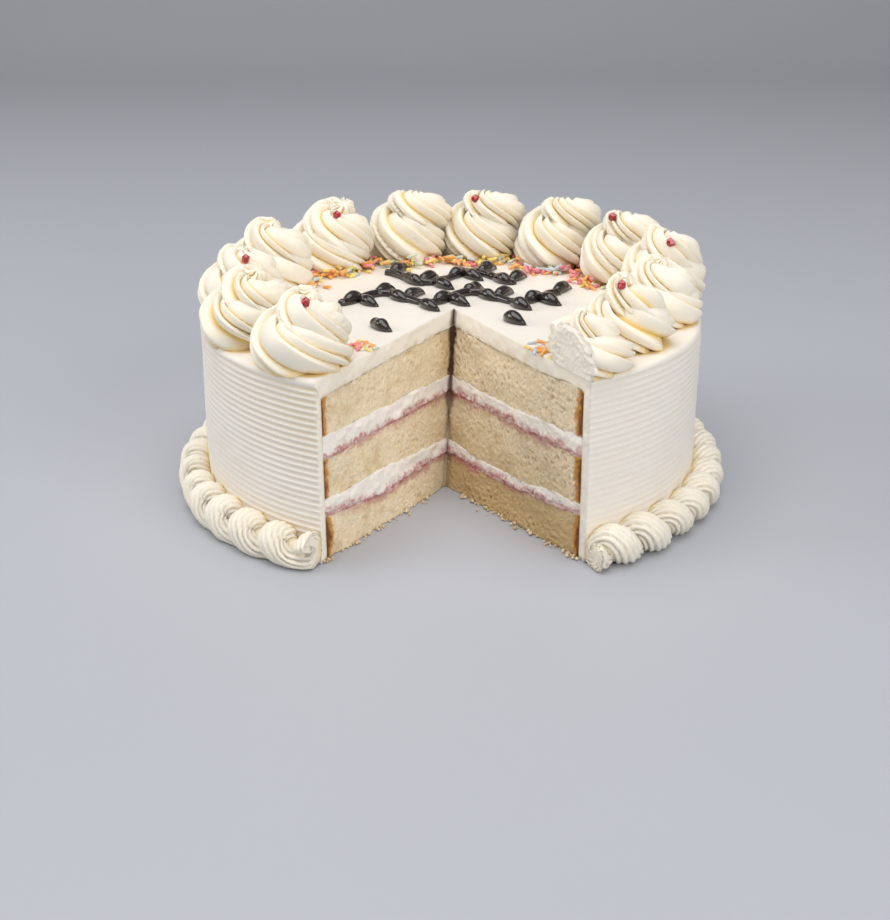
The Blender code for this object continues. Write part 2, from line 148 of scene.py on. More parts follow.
def noise(points, size, seed):
    """Smooth noise from -1 to 1: lattice values, each blended by 3t^2 - 2t^3 on each axis."""
    place = np.asarray(points) / size
    cell = np.floor(place).astype(np.int64)
    part = place - cell
    part = part * part * (3.0 - 2.0 * part)
    total = 0.0
    for corner in range(8):
        step = np.array([corner & 1, (corner >> 1) & 1, corner >> 2])
        weight = np.prod(np.where(step == 1, part, 1.0 - part), axis=-1)
        near = cell + step
        total = total + weight * scrambled(near[..., 0], near[..., 1], near[..., 2], seed)
    return 2.0 * total - 1.0


def cell_distance(points, size, seed):
    """Distance, in cells, to the nearest of the random points, one in each lattice cell."""
    place = np.asarray(points) / size
    cell = np.floor(place).astype(np.int64)
    best = np.full(place.shape[:-1], 9.0)
    for step in np.ndindex(3, 3, 3):
        near = cell + np.array(step) - 1
        x, y, z = near[..., 0], near[..., 1], near[..., 2]
        spot = near + np.stack([scrambled(x, y, z, seed + n) for n in range(3)], axis=-1)
        best = np.minimum(best, np.sum((place - spot) ** 2, axis=-1))
    return np.sqrt(best)


def ease(value, low, high):
    """0 below low and 1 above high, with a soft S between them."""
    share = np.clip((value - low) / (high - low), 0.0, 1.0)
    return share * share * (3.0 - 2.0 * share)


# Places on the cake

def ring_point(azimuth, radius, z):
    """Point at an azimuth: (r sin a, -r cos a, z)."""
    azimuth, radius, z = np.broadcast_arrays(azimuth, radius, z)
    return np.stack([radius * np.sin(azimuth), -radius * np.cos(azimuth), z], axis=-1)


def apex_point(z):
    """The wedge's inner edge, a straight line that leans from its foot to its top."""
    z = np.asarray(z, float)
    plan = APEX_BASE + (APEX_TOP - APEX_BASE) * (z / HEIGHT)[..., None]
    return np.concatenate([plan, z[..., None]], axis=-1)


def azimuth_of(turn):
    """Azimuth that falls evenly from the left cut, round the back, to the right cut."""
    return LEFT_CORNER - turn * (2.0 * math.pi - RIGHT_CORNER + LEFT_CORNER)


def food_point(share, turn, z, radius):
    """The point a share of the way from the inner edge to the rim at a turn and a height."""
    share, turn, z = np.broadcast_arrays(share, turn, z)
    start = apex_point(z)
    return start + (ring_point(azimuth_of(turn), radius, z) - start) * share[..., None]


def cut_normal(turn):
    """Level unit normal of a cut at the top, pointing into the wedge."""
    corner = ring_point(azimuth_of(turn), RADIUS, HEIGHT)
    along = corner - apex_point(HEIGHT)
    along = along / np.linalg.norm(along)
    sign = 1.0 if turn < 0.5 else -1.0
    return np.array([-along[1] * sign, along[0] * sign, 0.0])


def layer_top(count, share, turn):
    """Height of the top of so many layers: their sum, plus the waves of a real spread."""
    share, turn = np.broadcast_arrays(np.asarray(share, float), np.asarray(turn, float))
    z = np.zeros(share.shape)
    if count == 0:
        return z
    for _, sizes, leans in LAYERS[:count]:
        z = z + np.interp(share, (0.0, HALF_WAY, 1.0), sizes)
        z = z + np.interp(share, (0.0, HALF_WAY, 1.0), (0.0, *leans)) * np.cos(np.pi * turn)
    place = food_point(share, turn, WAVE_HEIGHT, SPONGE_RADIUS)
    waves = 0.0007 * noise(place, 0.013, 40 + count) + 0.0004 * noise(place, 0.004, 50 + count)
    return z + waves + 0.0003 * noise(place, 0.0014, 60 + count)


def top_height(points):
    """Height of the icing's top: a shallow dish with the slow waves of a palette knife."""
    radius = np.hypot(points[..., 0], points[..., 1])
    dish = 0.0006 * ease(radius, 0.04, 0.095) - 0.0004
    return HEIGHT + dish + 0.00025 * noise(points, 0.022, 7) + 0.0001 * noise(points, 0.006, 8)


# Meshes

def grid_faces(rows, columns, start=0):
    """Quads of a grid of points stored row by row."""
    row, column = np.meshgrid(np.arange(rows - 1), np.arange(columns - 1), indexing="ij")
    corner = (start + row * columns + column).ravel()
    return np.stack([corner, corner + 1, corner + columns + 1, corner + columns], axis=1)


class Surface:
    """Sheets of points that are gathered, then welded into one closed mesh."""

    def __init__(self):
        self.points = []
        self.faces = []
        self.count = 0
        self.values = {}

    def add(self, points, faces=None, **values):
        """Add a grid of points (rows, columns, 3), or loose points with their faces."""
        if faces is None:
            faces = grid_faces(points.shape[0], points.shape[1])
        flat = points.reshape(-1, 3)
        self.faces.append(faces + self.count)
        self.points.append(flat)
        for name in set(self.values) | set(values):
            store = self.values.setdefault(name, [np.zeros(self.count)])
            value = np.broadcast_to(values.get(name, 0.0), points.shape[:-1])
            store.append(np.asarray(value, float).ravel())
        self.count += len(flat)

    def welded(self):
        """Points, faces and values, with points nearer than a micrometre made one."""
        points = np.concatenate(self.points)
        faces = np.concatenate(self.faces)
        keys = np.round(points / 1e-6).astype(np.int64)
        _, first, index = np.unique(keys, axis=0, return_index=True, return_inverse=True)
        values = {name: np.concatenate(parts)[first] for name, parts in self.values.items()}
        return points[first], index.reshape(-1)[faces], values


def triangles_of(faces):
    """Both triangles of each quad, without those that have lost a corner by welding."""
    both = np.concatenate([faces[:, [0, 1, 2]], faces[:, [0, 2, 3]]])
    a, b, c = both.T
    return both[(a != b) & (b != c) & (c != a)]


def face_out(mesh):
    """Turn every face of a closed mesh so that it looks outward."""
    shell = bmesh.new()
    shell.from_mesh(mesh)
    bmesh.ops.recalc_face_normals(shell, faces=shell.faces)
    shell.to_mesh(mesh)
    shell.free()


def add_piece(name, points, faces, values, materials, looks=None, smooth=True):
    """Make an object at the origin from whole arrays, and let it ride on the cake."""
    mesh = bpy.data.meshes.new(name)
    mesh.vertices.add(len(points))
    mesh.vertices.foreach_set("co", points.astype(np.float32).ravel())
    mesh.loops.add(faces.size)
    mesh.loops.foreach_set("vertex_index", faces.astype(np.int32).ravel())
    mesh.polygons.add(len(faces))
    mesh.polygons.foreach_set("loop_start", np.arange(0, faces.size, 3, dtype=np.int32))
    mesh.polygons.foreach_set("use_smooth", np.full(len(faces), smooth))
    for material in materials:
        mesh.materials.append(material)
    if looks is not None:
        mesh.polygons.foreach_set("material_index", looks.astype(np.int32))
    for label, value in values.items():
        layer = mesh.attributes.new(label, "FLOAT", "POINT")
        layer.data.foreach_set("value", value.astype(np.float32))
    mesh.update(calc_edges=True)
    mesh.validate()
    face_out(mesh)
    piece = bpy.data.objects.new(name, mesh)
    bpy.context.scene.collection.objects.link(piece)
    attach(piece, "root")
    return piece


def finish_surface(name, surface, materials, slot, *nodes, smooth=True):
    """Weld a surface, turn it right side out and put it in place of its CAD nodes, if any.

    Where there are two materials, the second one is for the faces that the knife has cut.
    """
    points, faces, values = surface.welded()
    faces = triangles_of(faces)
    looks = None
    if len(materials) > 1:
        looks = values["cut"][faces].mean(axis=1) > 0.6
    piece = add_piece(name, points, faces, values, materials, looks, smooth)
    if nodes:
        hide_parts(*nodes)


# Materials

class Look:
    """A material's node tree, with short calls for the nodes that the finishes use."""

    def __init__(self, name, roughness):
        self.material = bpy.data.materials.new(name)
        self.material.use_nodes = True
        self.tree = self.material.node_tree
        self.shader = self.tree.nodes["Principled BSDF"]
        self.shader.inputs["Roughness"].default_value = roughness
        self.place = self.node("ShaderNodeTexCoord").outputs["Object"]

    def node(self, kind, **settings):
        """Add a node of a kind, with its settings."""
        made = self.tree.nodes.new(kind)
        for name, value in settings.items():
            setattr(made, name, value)
        return made

    def join(self, source, target):
        """Link an output to an input, or set the input to a plain value."""
        if hasattr(source, "is_output"):
            self.tree.links.new(source, target)
        else:
            target.default_value = source

    def noise(self, size, detail=3.0, stretch=(1.0, 1.0, 1.0)):
        """Noise of the given grain in metres, stretched on each axis."""
        mapping = self.node("ShaderNodeMapping")
        mapping.inputs["Scale"].default_value = [1.0 / one for one in stretch]
        self.join(self.place, mapping.inputs["Vector"])
        made = self.node("ShaderNodeTexNoise")
        made.inputs["Scale"].default_value = 1.0 / size
        made.inputs["Detail"].default_value = detail
        self.join(mapping.outputs["Vector"], made.inputs["Vector"])
        return made.outputs["Fac"]

    def value(self, name):
        """One of the mesh's own values, by its name."""
        return self.node("ShaderNodeAttribute", attribute_name=name).outputs["Fac"]

    def range(self, source, low, high, to_low=0.0, to_high=1.0):
        """Map the source from low..high to to_low..to_high, clamped."""
        made = self.node("ShaderNodeMapRange")
        for name, number in (("From Min", low), ("From Max", high),
                             ("To Min", to_low), ("To Max", to_high)):
            made.inputs[name].default_value = number
        self.join(source, made.inputs["Value"])
        return made.outputs["Result"]

    def maths(self, operation, first, second):
        """A sum, product or the like of two sources or numbers."""
        made = self.node("ShaderNodeMath", operation=operation)
        self.join(first, made.inputs[0])
        self.join(second, made.inputs[1])
        return made.outputs[0]

    def mix(self, share, first, second):
        """Colour that goes from the first to the second by share."""
        made = self.node("ShaderNodeMix", data_type="RGBA")
        self.join(share, made.inputs["Factor"])
        for source, target in ((first, made.inputs["A"]), (second, made.inputs["B"])):
            self.join((*source, 1.0) if isinstance(source, tuple) else source, target)
        return made.outputs["Result"]

    def bump(self, height, distance, strength=1.0, under=None):
        """A bumped normal, on top of the one under it."""
        made = self.node("ShaderNodeBump")
        made.inputs["Strength"].default_value = strength
        made.inputs["Distance"].default_value = distance
        self.join(height, made.inputs["Height"])
        if under is not None:
            self.join(under, made.inputs["Normal"])
        return made.outputs["Normal"]

    def soften(self, weight, radius, scale):
        """Let light scatter a little below the surface."""
        self.shader.inputs["Subsurface Weight"].default_value = weight
        self.shader.inputs["Subsurface Radius"].default_value = radius
        self.shader.inputs["Subsurface Scale"].default_value = scale

    def finish(self, colour, normal):
        """Join the colour and the normal to the shader and hand out the material."""
        self.join(colour, self.shader.inputs["Base Color"])
        self.join(normal, self.shader.inputs["Normal"])
        return self.material


def shade(colour):
    """A colour property as a plain tuple."""
    return tuple(colour)[:3]


def icing_material(name, colours, main, other):
    """Whipped buttercream: ivory, with yellow painted shade in its hollows, yellower where it is cut,
    finely pitted.
    """
    look = Look(name, 0.5)
    patches = look.range(look.noise(0.018, 4.0), 0.35, 0.7)
    tone = look.mix(patches, shade(main), shade(other))
    # Painted shade: crevices, comb grooves, the insides of coils and the feet of swirls are tinted
    # yellow
    tone = look.mix(look.range(look.value("hollow"), 0.15, 0.95), tone, shade(colours.hollow))
    tone = look.mix(look.maths("MULTIPLY", look.value("cut"), 0.8), tone, shade(colours.icing_cut))
    tone = look.mix(look.value("crumb"), tone, shade(colours.sponge_dark))
    tone = look.mix(look.value("smear"), tone, shade(colours.smear))
    fine = look.bump(look.noise(0.0006, 2.0), 0.00012, 0.35)
    normal = look.bump(look.noise(0.004, 3.0), 0.0004, 0.3, fine)
    look.soften(0.2, (0.0024, 0.0021, 0.0017), 1.0)
    return look.finish(tone, normal)


def sponge_material(colours):
    """Open vanilla crumb: pale walls, painted shade in the pores, browned crust and a stain of jam."""
    look = Look("vanilla sponge", 0.92)
    grain = look.range(look.noise(0.0014, 4.0), 0.36, 0.66)
    tone = look.mix(grain, shade(colours.sponge), shade(colours.sponge_light))
    # Tan: a random tone, plus painted shade low on the right cut and painted light high on it
    tone = look.mix(look.maths("MULTIPLY", look.value("tan"), 0.6), tone, shade(colours.sponge_dark))
    # Painted shade in the pores
    tone = look.mix(look.maths("MULTIPLY", look.value("pore"), 0.55), tone, shade(colours.sponge_dark))
    tone = look.mix(look.value("stain"), tone, shade(colours.jam))
    baked = look.value("crust")
    crust = look.mix(look.range(baked, 0.82, 1.0), shade(colours.crust), shade(colours.crust_dark))
    tone = look.mix(look.range(baked, 0.2, 0.62), tone, crust)
    tone = look.mix(look.value("smear"), tone, shade(colours.smear))
    fine = look.bump(look.noise(0.0005, 3.0), 0.0003, 0.7)
    normal = look.bump(look.noise(0.0016, 3.0), 0.0006, 0.6, fine)
    look.soften(0.1, (0.002, 0.0014, 0.0007), 1.0)
    return look.finish(tone, normal)


def filling_material(name, colours, main, other, patch, roughness):
    """A soft filling, wiped by the knife, in which one colour drifts into another."""
    look = Look(name, roughness)
    drift = look.range(look.noise(patch, 4.0, (1.0, 1.0, 0.5)), 0.38, 0.66)
    tone = look.mix(drift, main, other)
    tone = look.mix(look.value("stain"), tone, shade(colours.jam))
    tone = look.mix(look.value("smear"), tone, shade(colours.smear))
    wiped = look.bump(look.noise(0.0012, 3.0, (1.0, 1.0, 3.0)), 0.0003, 0.5)
    look.soften(0.1, (0.003, 0.002, 0.0012), 1.0)
    return look.finish(tone, wiped)


def chocolate_material(colours):
    """Piped chocolate: nearly black, set to a gloss with faint streaks."""
    look = Look("set chocolate", 0.14)
    streaks = look.range(look.noise(0.002, 3.0), 0.4, 0.7)
    tone = look.mix(streaks, shade(colours.chocolate), shade(colours.chocolate_light))
    look.shader.inputs["Specular IOR Level"].default_value = 0.5
    look.shader.inputs["Coat Weight"].default_value = 0.6
    look.shader.inputs["Coat Roughness"].default_value = 0.06
    return look.finish(tone, look.bump(look.noise(0.0016, 2.0), 0.00012, 0.3))


def sugar_material(name, colour):
    """A pressed sugar strand: one colour, a little mottled, with a waxy sheen."""
    look = Look(name, 0.38)
    paler = tuple(0.7 * one + 0.3 for one in colour)
    tone = look.mix(look.range(look.noise(0.001, 2.0), 0.45, 0.75), colour, paler)
    look.soften(0.15, (0.001, 0.0007, 0.0005), 1.0)
    return look.finish(tone, look.bump(look.noise(0.0004, 2.0), 0.00004, 0.4))


def crystal_material(colours):
    """A red sugar crystal: deep, glassy and clear at its edges."""
    look = Look("sugar crystal", 0.08)
    depth = look.range(look.noise(0.0015, 2.0), 0.35, 0.7)
    tone = look.mix(depth, shade(colours.crystal), shade(colours.crystal_dark))
    look.shader.inputs["Coat Weight"].default_value = 1.0
    look.shader.inputs["Coat Roughness"].default_value = 0.05
    return look.finish(tone, look.bump(look.noise(0.0007, 2.0), 0.00008, 0.3))


def stage_material(name, colour, roughness):
    """Paint that drifts a little in tone, with a faint grain."""
    look = Look(name, roughness)
    tone = look.mix(look.noise(0.15, 2.0), colour, tuple(0.97 * one for one in colour))
    return look.finish(tone, look.bump(look.noise(0.003, 2.0), 0.0001, 0.1))


# Sponges and fillings

CUT_COLUMNS = 300
RIM_COLUMNS = 90
# Rows of the wall of each kind of layer, from its foot to its top
WALL_ROWS = {"sponge": 52, "cream": 22, "jam": 7}
# Where the fans that close a layer below and above meet, in plan
FAN_MIDDLE = np.array([0.0, 0.03])


def wall_columns():
    """Share and turn of each column of a layer's wall: out, round the rim, and back in."""
    out = np.linspace(0.0, 1.0, CUT_COLUMNS)
    round_rim = np.linspace(0.0, 1.0, RIM_COLUMNS)[1:-1]
    share = np.concatenate([out, np.ones(len(round_rim)), out[::-1]])
    turn = np.concatenate([np.zeros(CUT_COLUMNS), round_rim, np.ones(CUT_COLUMNS)])
    return share, turn


def wall_normals(turn):
    """Into the wedge on the cuts, and none on the hidden rim."""
    left = (turn == 0.0)[:, None] * cut_normal(0.0)
    return left + (turn == 1.0)[:, None] * cut_normal(1.0)


def apex_smear(points):
    """How much chocolate the knife has dragged down the inner edge: most on the edge itself."""
    flat = points[..., :2] - apex_point(points[..., 2])[..., :2]
    away = np.hypot(flat[..., 0], flat[..., 1])
    width = 0.0017 * (1.3 + 0.6 * noise(points * (1.0, 1.0, 0.4), 0.004, 31))
    height = 0.42 + 0.33 * ease(points[..., 2], 0.02, 0.035) + 0.3 * ease(points[..., 2], 0.034, 0.05)
    return ease(1.6 - away / width, 0.0, 1.4) * height


def make_layer(index, rows, relief):
    """One layer as a closed block.

    Its wall is a grid over (column, height share); each point of a cut is moved along the
    cut's normal by the relief, which fades to nothing at the edges of the face.
    """
    share, turn = wall_columns()
    low = layer_top(index, share, turn)
    high = layer_top(index + 1, share, turn)
    z = low + (high - low) * np.linspace(0.0, 1.0, rows)[:, None]
    points = food_point(share, turn, z, SPONGE_RADIUS)
    fade = ease(share, 0.0, 0.012) * ease(1.0 - share, 0.0, 0.008)
    coarse = np.where(turn > 0.5, 1.0, 0.75)
    depth, values = relief(points, share, z - low, high - z, coarse)
    shape = points + (depth * fade)[..., None] * wall_normals(turn)
    values["smear"] = apex_smear(points) * (turn % 1.0 == 0.0)
    surface = Surface()
    surface.add(shape, **values)
    for edge, level in ((shape[0], low), (shape[-1], high)):
        inward = np.linspace(1.0, 0.0, 5)[:, None, None]
        plan = FAN_MIDDLE + (edge[None, :, :2] - FAN_MIDDLE) * inward
        height = level.mean() + (edge[None, :, 2:] - level.mean()) * inward
        surface.add(np.concatenate([plan, height], axis=-1))
    return surface


def sponge_relief(points, share, above, below, coarse):
    """Pores pressed into the cut with painted shade in them, and the tone, crust and jam stain that
    colour it.

    The left cut was wiped smoother by the knife than the right one, so its crumb is finer, and the
    right one gets painted shade towards its foot and painted light high up.
    """
    large = ease(0.40 - cell_distance(points, 0.0027, 3), 0.0, 0.25)
    small = ease(0.45 - cell_distance(points, 0.0011, 4), 0.0, 0.3)
    rough = 0.0006 * noise(points, 0.009, 5) + 0.00035 * noise(points, 0.0013, 6) * coarse
    pores = large * ease(noise(points, 0.010, 9), -0.1, 0.4) * coarse
    depth = rough - 0.0009 * pores - 0.0004 * small * coarse - 0.0002
    # The browned crust follows the rim, and jam soaks up from the foot
    rim = (1.0 - share) * 0.09 + 0.0013 * noise(points, 0.0055, 12)
    rim = rim + 0.0008 * noise(points, 0.0014, 13)
    near = np.minimum(above, below)
    crust = ease(0.0061 - rim, -0.0002, 0.0052) * ease(near + 0.0006, 0.0, 0.0014)
    reach = 0.0026 + 0.0022 * noise(points, 0.007, 14) + 0.0014 * noise(points, 0.0011, 17)
    stain = 0.60 * ease(reach - below, 0.0, 0.0034) * ease(1.1 - share, 0.0, 0.5)
    # A tone that drifts at random and deepens towards the inner edge; on the right cut, painted shade
    # towards the foot and painted light high up
    tan = ease(noise(points, 0.014, 15) + 0.7 * noise(points, 0.003, 16), 0.0, 1.0)
    shadowed = 1.6 * ease(0.034 - points[..., 2], 0.0, 0.030) - 1.0 * ease(points[..., 2], 0.042, 0.06)
    tan = 0.75 * tan + 0.35 * ease(0.35 - share, 0.0, 0.35) + shadowed * (coarse > 0.9)
    tan = np.clip(tan, 0.0, 1.5)
    # Painted shade in the pores
    return depth, {"pore": np.maximum(pores, 0.5 * small * coarse), "tan": tan,
                   "crust": crust, "stain": stain * (1.0 - crust)}


def top_sponge_relief(points, share, above, below, coarse):
    """The top sponge carries no jam."""
    depth, values = sponge_relief(points, share, above, below, coarse)
    values["stain"] = np.zeros_like(values["stain"])
    return depth, values


def cream_relief(points, share, above, below, coarse):
    """Cream that stands a little proud, torn by the knife, with jam drawn into its foot."""
    depth = 0.0003 + 0.0005 * noise(points * (1.0, 1.0, 2.0), 0.005, 21)
    depth = depth + 0.0002 * noise(points, 0.0012, 22) * (0.6 + 0.6 * coarse)
    reach = 0.0026 + 0.0018 * noise(points, 0.0045, 23) + 0.0012 * noise(points, 0.0011, 29)
    stain = ease(reach - above, 0.0, 0.0024) * (0.60 + 0.50 * noise(points, 0.0008, 24))
    rim = (1.0 - share) * 0.09 + 0.0008 * noise(points, 0.0040, 18)
    return depth, {"stain": np.clip(stain, 0.0, 1.0), "crust": 0.25 * ease(0.0012 - rim, 0.0, 0.001)}


def jam_relief(points, share, above, below, coarse):
    """A thin, moist seam, broken by cream and crumb, deepest in colour towards the middle."""
    depth = 0.0004 * noise(points, 0.004, 25) + 0.0003 * noise(points, 0.0012, 27) - 0.0002
    patches = 0.9 * noise(points, 0.006, 26) + 1.1 * noise(points, 0.0014, 28)
    stain = ease(patches + 0.8 * (0.65 - share), -0.4, 1.3)
    return depth, {"stain": 0.8 * stain}


RELIEFS = {"sponge": sponge_relief, "cream": cream_relief, "jam": jam_relief}


def layer_material(kind, colours):
    """The finish of a kind of layer."""
    if kind == "sponge":
        return sponge_material(colours)
    if kind == "cream":
        return filling_material("cream filling", colours, shade(colours.cream),
                                shade(colours.cream_shade), 0.006, 0.5)
    return filling_material("jam", colours, shade(colours.jam_pale), shade(colours.jam), 0.004, 0.4)


def build_layers(context, kinds):
    """Build the layers whose names start with one of the kinds."""
    materials = {kind: layer_material(kind, context.scene.cake_colours) for kind in kinds}
    for index, (name, _, _) in enumerate(LAYERS):
        kind = name.split("_")[0]
        if kind not in kinds:
            continue
        relief = top_sponge_relief if name == "sponge_top" else RELIEFS[kind]
        surface = make_layer(index, WALL_ROWS[kind], relief)
        finish_surface("cut_" + name, surface, [materials[kind]], kind, name)


# Icing

COMB_TOP = 0.0690
COMB_FOOT = 0.0040
RIM_ROUND = 0.0017
# Rows of points across the top and over the rim
TOP_ROWS = 64
RIM_ROWS = 7
TURN_STEPS = 400


def comb_rows(grooves):
    """Height and depth share of each row of the combed side, five rows to a groove."""
    within = np.array([0.0, 0.16, 0.38, 0.64, 0.86])
    depth = np.array([0.0, 0.5, 0.95, 1.0, 0.55])
    pitch = (COMB_TOP - COMB_FOOT) / grooves
    z = COMB_TOP - pitch * (np.arange(grooves)[:, None] + within)
    return z.ravel(), np.tile(depth, grooves)


def icing_skin(turn, sizes):
    """Outer surface over (row, turn): across the top, over the rim and down the side.

    On the side the radius is the cake's, less the comb's depth times a wave of five rows
    to a groove; the depth and the height of each groove drift slowly round the cake.
    """
    share = np.linspace(0.0, 1.0, TOP_ROWS)[:, None]
    flat = food_point(share, turn, HEIGHT, RADIUS - RIM_ROUND)
    flat[..., 2] = top_height(flat)
    edge = flat[-1, :, 2]
    bend = np.linspace(0.0, math.pi / 2.0, RIM_ROWS + 1)[1:, None]
    azimuth = azimuth_of(turn)
    wander = 0.0003 * noise(ring_point(azimuth, RADIUS, 0.07), 0.02, 61)
    rim = ring_point(azimuth, RADIUS - RIM_ROUND * (1.0 - np.sin(bend)) + wander,
                     edge - RIM_ROUND * (1.0 - np.cos(bend)))
    comb_z, comb_depth = comb_rows(sizes.comb_grooves)
    drift = 0.0006 * noise(ring_point(azimuth, RADIUS, 0.0), 0.05, 62)
    z = comb_z[:, None] + drift * ease(comb_z, 0.0, 0.02)[:, None]
    side = ring_point(azimuth, RADIUS, z)
    # The comb bites unevenly, deepest beside the left cut and high on the left side
    left = ease(azimuth, -3.6, -2.6)
    strength = 0.22 + 0.18 * noise(side * (1.0, 1.0, 0.5), 0.045, 63)
    strength = strength + 0.75 * np.exp(-((azimuth - LEFT_CORNER) / 0.30) ** 2)
    strength = strength + (0.22 + 0.40 * left) * ease(z, 0.030, 0.056)
    uneven = 0.0004 * noise(side, 0.03, 64) + 0.00012 * noise(side * (1.0, 1.0, 3.0), 0.006, 65)
    radius = RADIUS - sizes.comb_depth * strength * comb_depth[:, None] + uneven
    side = ring_point(azimuth, radius + wander * ease(comb_z, 0.05, 0.067)[:, None], z)
    foot = ring_point(azimuth, RADIUS, np.array([[0.002], [0.0]]))
    points = np.concatenate([flat, rim, side, foot])
    hollow = np.zeros(points.shape[:2])
    comb_start = TOP_ROWS + RIM_ROWS
    # Painted shade in the comb's grooves and, on the top, at the feet of the swirls
    hollow[comb_start:comb_start + len(comb_z)] = 0.22 * comb_depth[:, None] * strength
    hollow[:TOP_ROWS] = foot_shade(flat)
    return points, hollow


def foot_shade(points):
    """How near each point is to the foot of a swirl, where the icing gets painted shade."""
    shade_there = np.zeros(points.shape[:2])
    for azimuth, distance, radius, *_ in SWIRLS:
        centre = ring_point(math.radians(azimuth), distance, HEIGHT)
        away = np.linalg.norm(points - centre, axis=-1)
        shade_there = np.maximum(shade_there, 0.75 * ease(radius * 0.93 + 0.003 - away, 0.0, 0.003))
    return shade_there


def inner_outline(outer, turn_index, turn):
    """The icing's inner outline on a cut, row by row beside its outer one."""
    share = np.linspace(0.0, 1.0, TOP_ROWS)
    count = len(LAYERS)
    top = food_point(share, turn, layer_top(count, share, turn), SPONGE_RADIUS)
    corner = layer_top(count, 1.0, turn)
    z = np.minimum(outer[TOP_ROWS:, turn_index, 2], corner)
    wall = ring_point(azimuth_of(turn), SPONGE_RADIUS, z)
    return np.concatenate([top, wall])


def icing_cut(outer, inner, turn):
    """A cut of the icing: lines from the outer outline to the inner one, torn in between."""
    across = np.linspace(0.0, 1.0, 9)
    points = outer[:, None] + (inner - outer)[:, None] * across[:, None]
    fade = np.sin(math.pi * across)
    depth = 0.0004 * noise(points, 0.004, 71) + 0.00025 * noise(points, 0.0013, 72)
    depth[[0, -1]] = 0.0
    points = points + (depth * fade)[..., None] * cut_normal(turn)
    crumb = 0.45 * ease(across + 0.35 * noise(points, 0.002, 73), 0.75, 1.15)
    return points, {"cut": ease(across, 0.0, 0.15), "crumb": crumb, "smear": apex_smear(points)}


def build_icing(context):
    """The icing as one closed shell.

    Its outer skin is joined to an inner one, which lies on the sponges, by a ring under the
    foot and by a torn face on each cut.
    """
    sizes = context.scene.cake_sizes
    turn = np.linspace(0.0, 1.0, TURN_STEPS)
    outer, hollow = icing_skin(turn, sizes)
    surface = Surface()
    surface.add(outer, hollow=hollow)
    rows = outer.shape[0]
    share = np.array([0.0, 0.5, 1.0])[:, None]
    roof = food_point(share, turn, layer_top(len(LAYERS), share, turn), SPONGE_RADIUS)
    wall = ring_point(azimuth_of(turn), SPONGE_RADIUS, np.array([[0.03], [0.0]]))
    inner = np.concatenate([roof, wall])
    surface.add(inner[:, 1:-1])
    surface.add(np.stack([outer[-1, 1:-1], inner[-1, 1:-1]]))
    # The many rows of a cut are joined to the five rows of the inner skin in five runs
    step = np.searchsorted([20, 60, 110, rows - 3], np.arange(rows))
    for index, turn_there in ((0, 0.0), (len(turn) - 1, 1.0)):
        line = inner_outline(outer, index, turn_there)
        cut, values = icing_cut(outer[:, index], line, turn_there)
        surface.add(cut, **values)
        beside = inner[:, 1 if index == 0 else -2]
        row = np.arange(rows - 1)
        faces = np.stack([row, row + 1, rows + step[row + 1], rows + step[row]], axis=1)
        surface.add(np.concatenate([line, beside]), faces)
        next_foot = outer[-1, 1 if index == 0 else -2]
        foot = np.concatenate([cut[-1], [beside[-1], next_foot]])
        step_on = np.arange(len(cut[-1]) - 1)
        last = np.full(len(step_on), len(foot) - 2)
        fan = np.stack([step_on, step_on + 1, last, last], axis=1)
        closing = [0, len(foot) - 2, len(foot) - 1, len(foot) - 1]
        surface.add(foot, np.concatenate([fan, [closing]]))
    colours = context.scene.cake_colours
    materials = [icing_material("spread icing", colours, colours.icing, colours.icing_shade),
                 icing_material("cut icing", colours, colours.icing, colours.icing_cut)]
    finish_surface("icing_coat", surface, materials, "icing", "icing")


# Swirls

SWIRL_ROWS = 250
SWIRL_AROUND = 140
# The swirls at the back have finer ridges, and the first ones are torn more
BACK_SWIRLS = range(4, 10)
TORN_SWIRLS = range(2)
PLATE_STEPS = 60


def rope_stage(along, column):
    """A column of ROPE at shares along it: a cubic through the stages, with flat overshoots."""
    place, value = ROPE[:, 0], ROPE[:, column]
    slope = np.gradient(value, place)
    index = np.clip(np.searchsorted(place, along, side="right") - 1, 0, len(place) - 2)
    span = place[index + 1] - place[index]
    part = (along - place[index]) / span
    rest = 1.0 - part
    return (value[index] * (1.0 + 2.0 * part) * rest ** 2
            + value[index + 1] * (3.0 - 2.0 * part) * part ** 2
            + span * part * rest * (slope[index] * rest - slope[index + 1] * part))


def swirl_path(number, along):
    """Middle line of a swirl's rope and its outward direction: it climbs clockwise."""
    azimuth, distance, radius, height, end, drift_x, drift_y, spread = SWIRLS[number]
    wound = 2.0 * math.pi * (rope_stage(along, 1) - ROPE[-1, 1])
    heading = math.radians(end) - wound
    away = radius * rope_stage(along, 2) * (1.0 + (spread - 1.0) * ease(along, 0.5, 0.8))
    out = np.stack([np.cos(heading), np.sin(heading), np.zeros_like(heading)], axis=-1)
    centre = ring_point(math.radians(azimuth), distance, HEIGHT)
    drift = ease(along, 0.35, 0.8)[..., None] * (drift_x, drift_y, 0.0)
    climb = height * rope_stage(along, 4)[..., None] * (0.0, 0.0, 1.0)
    return centre + drift + climb + away[..., None] * out, out


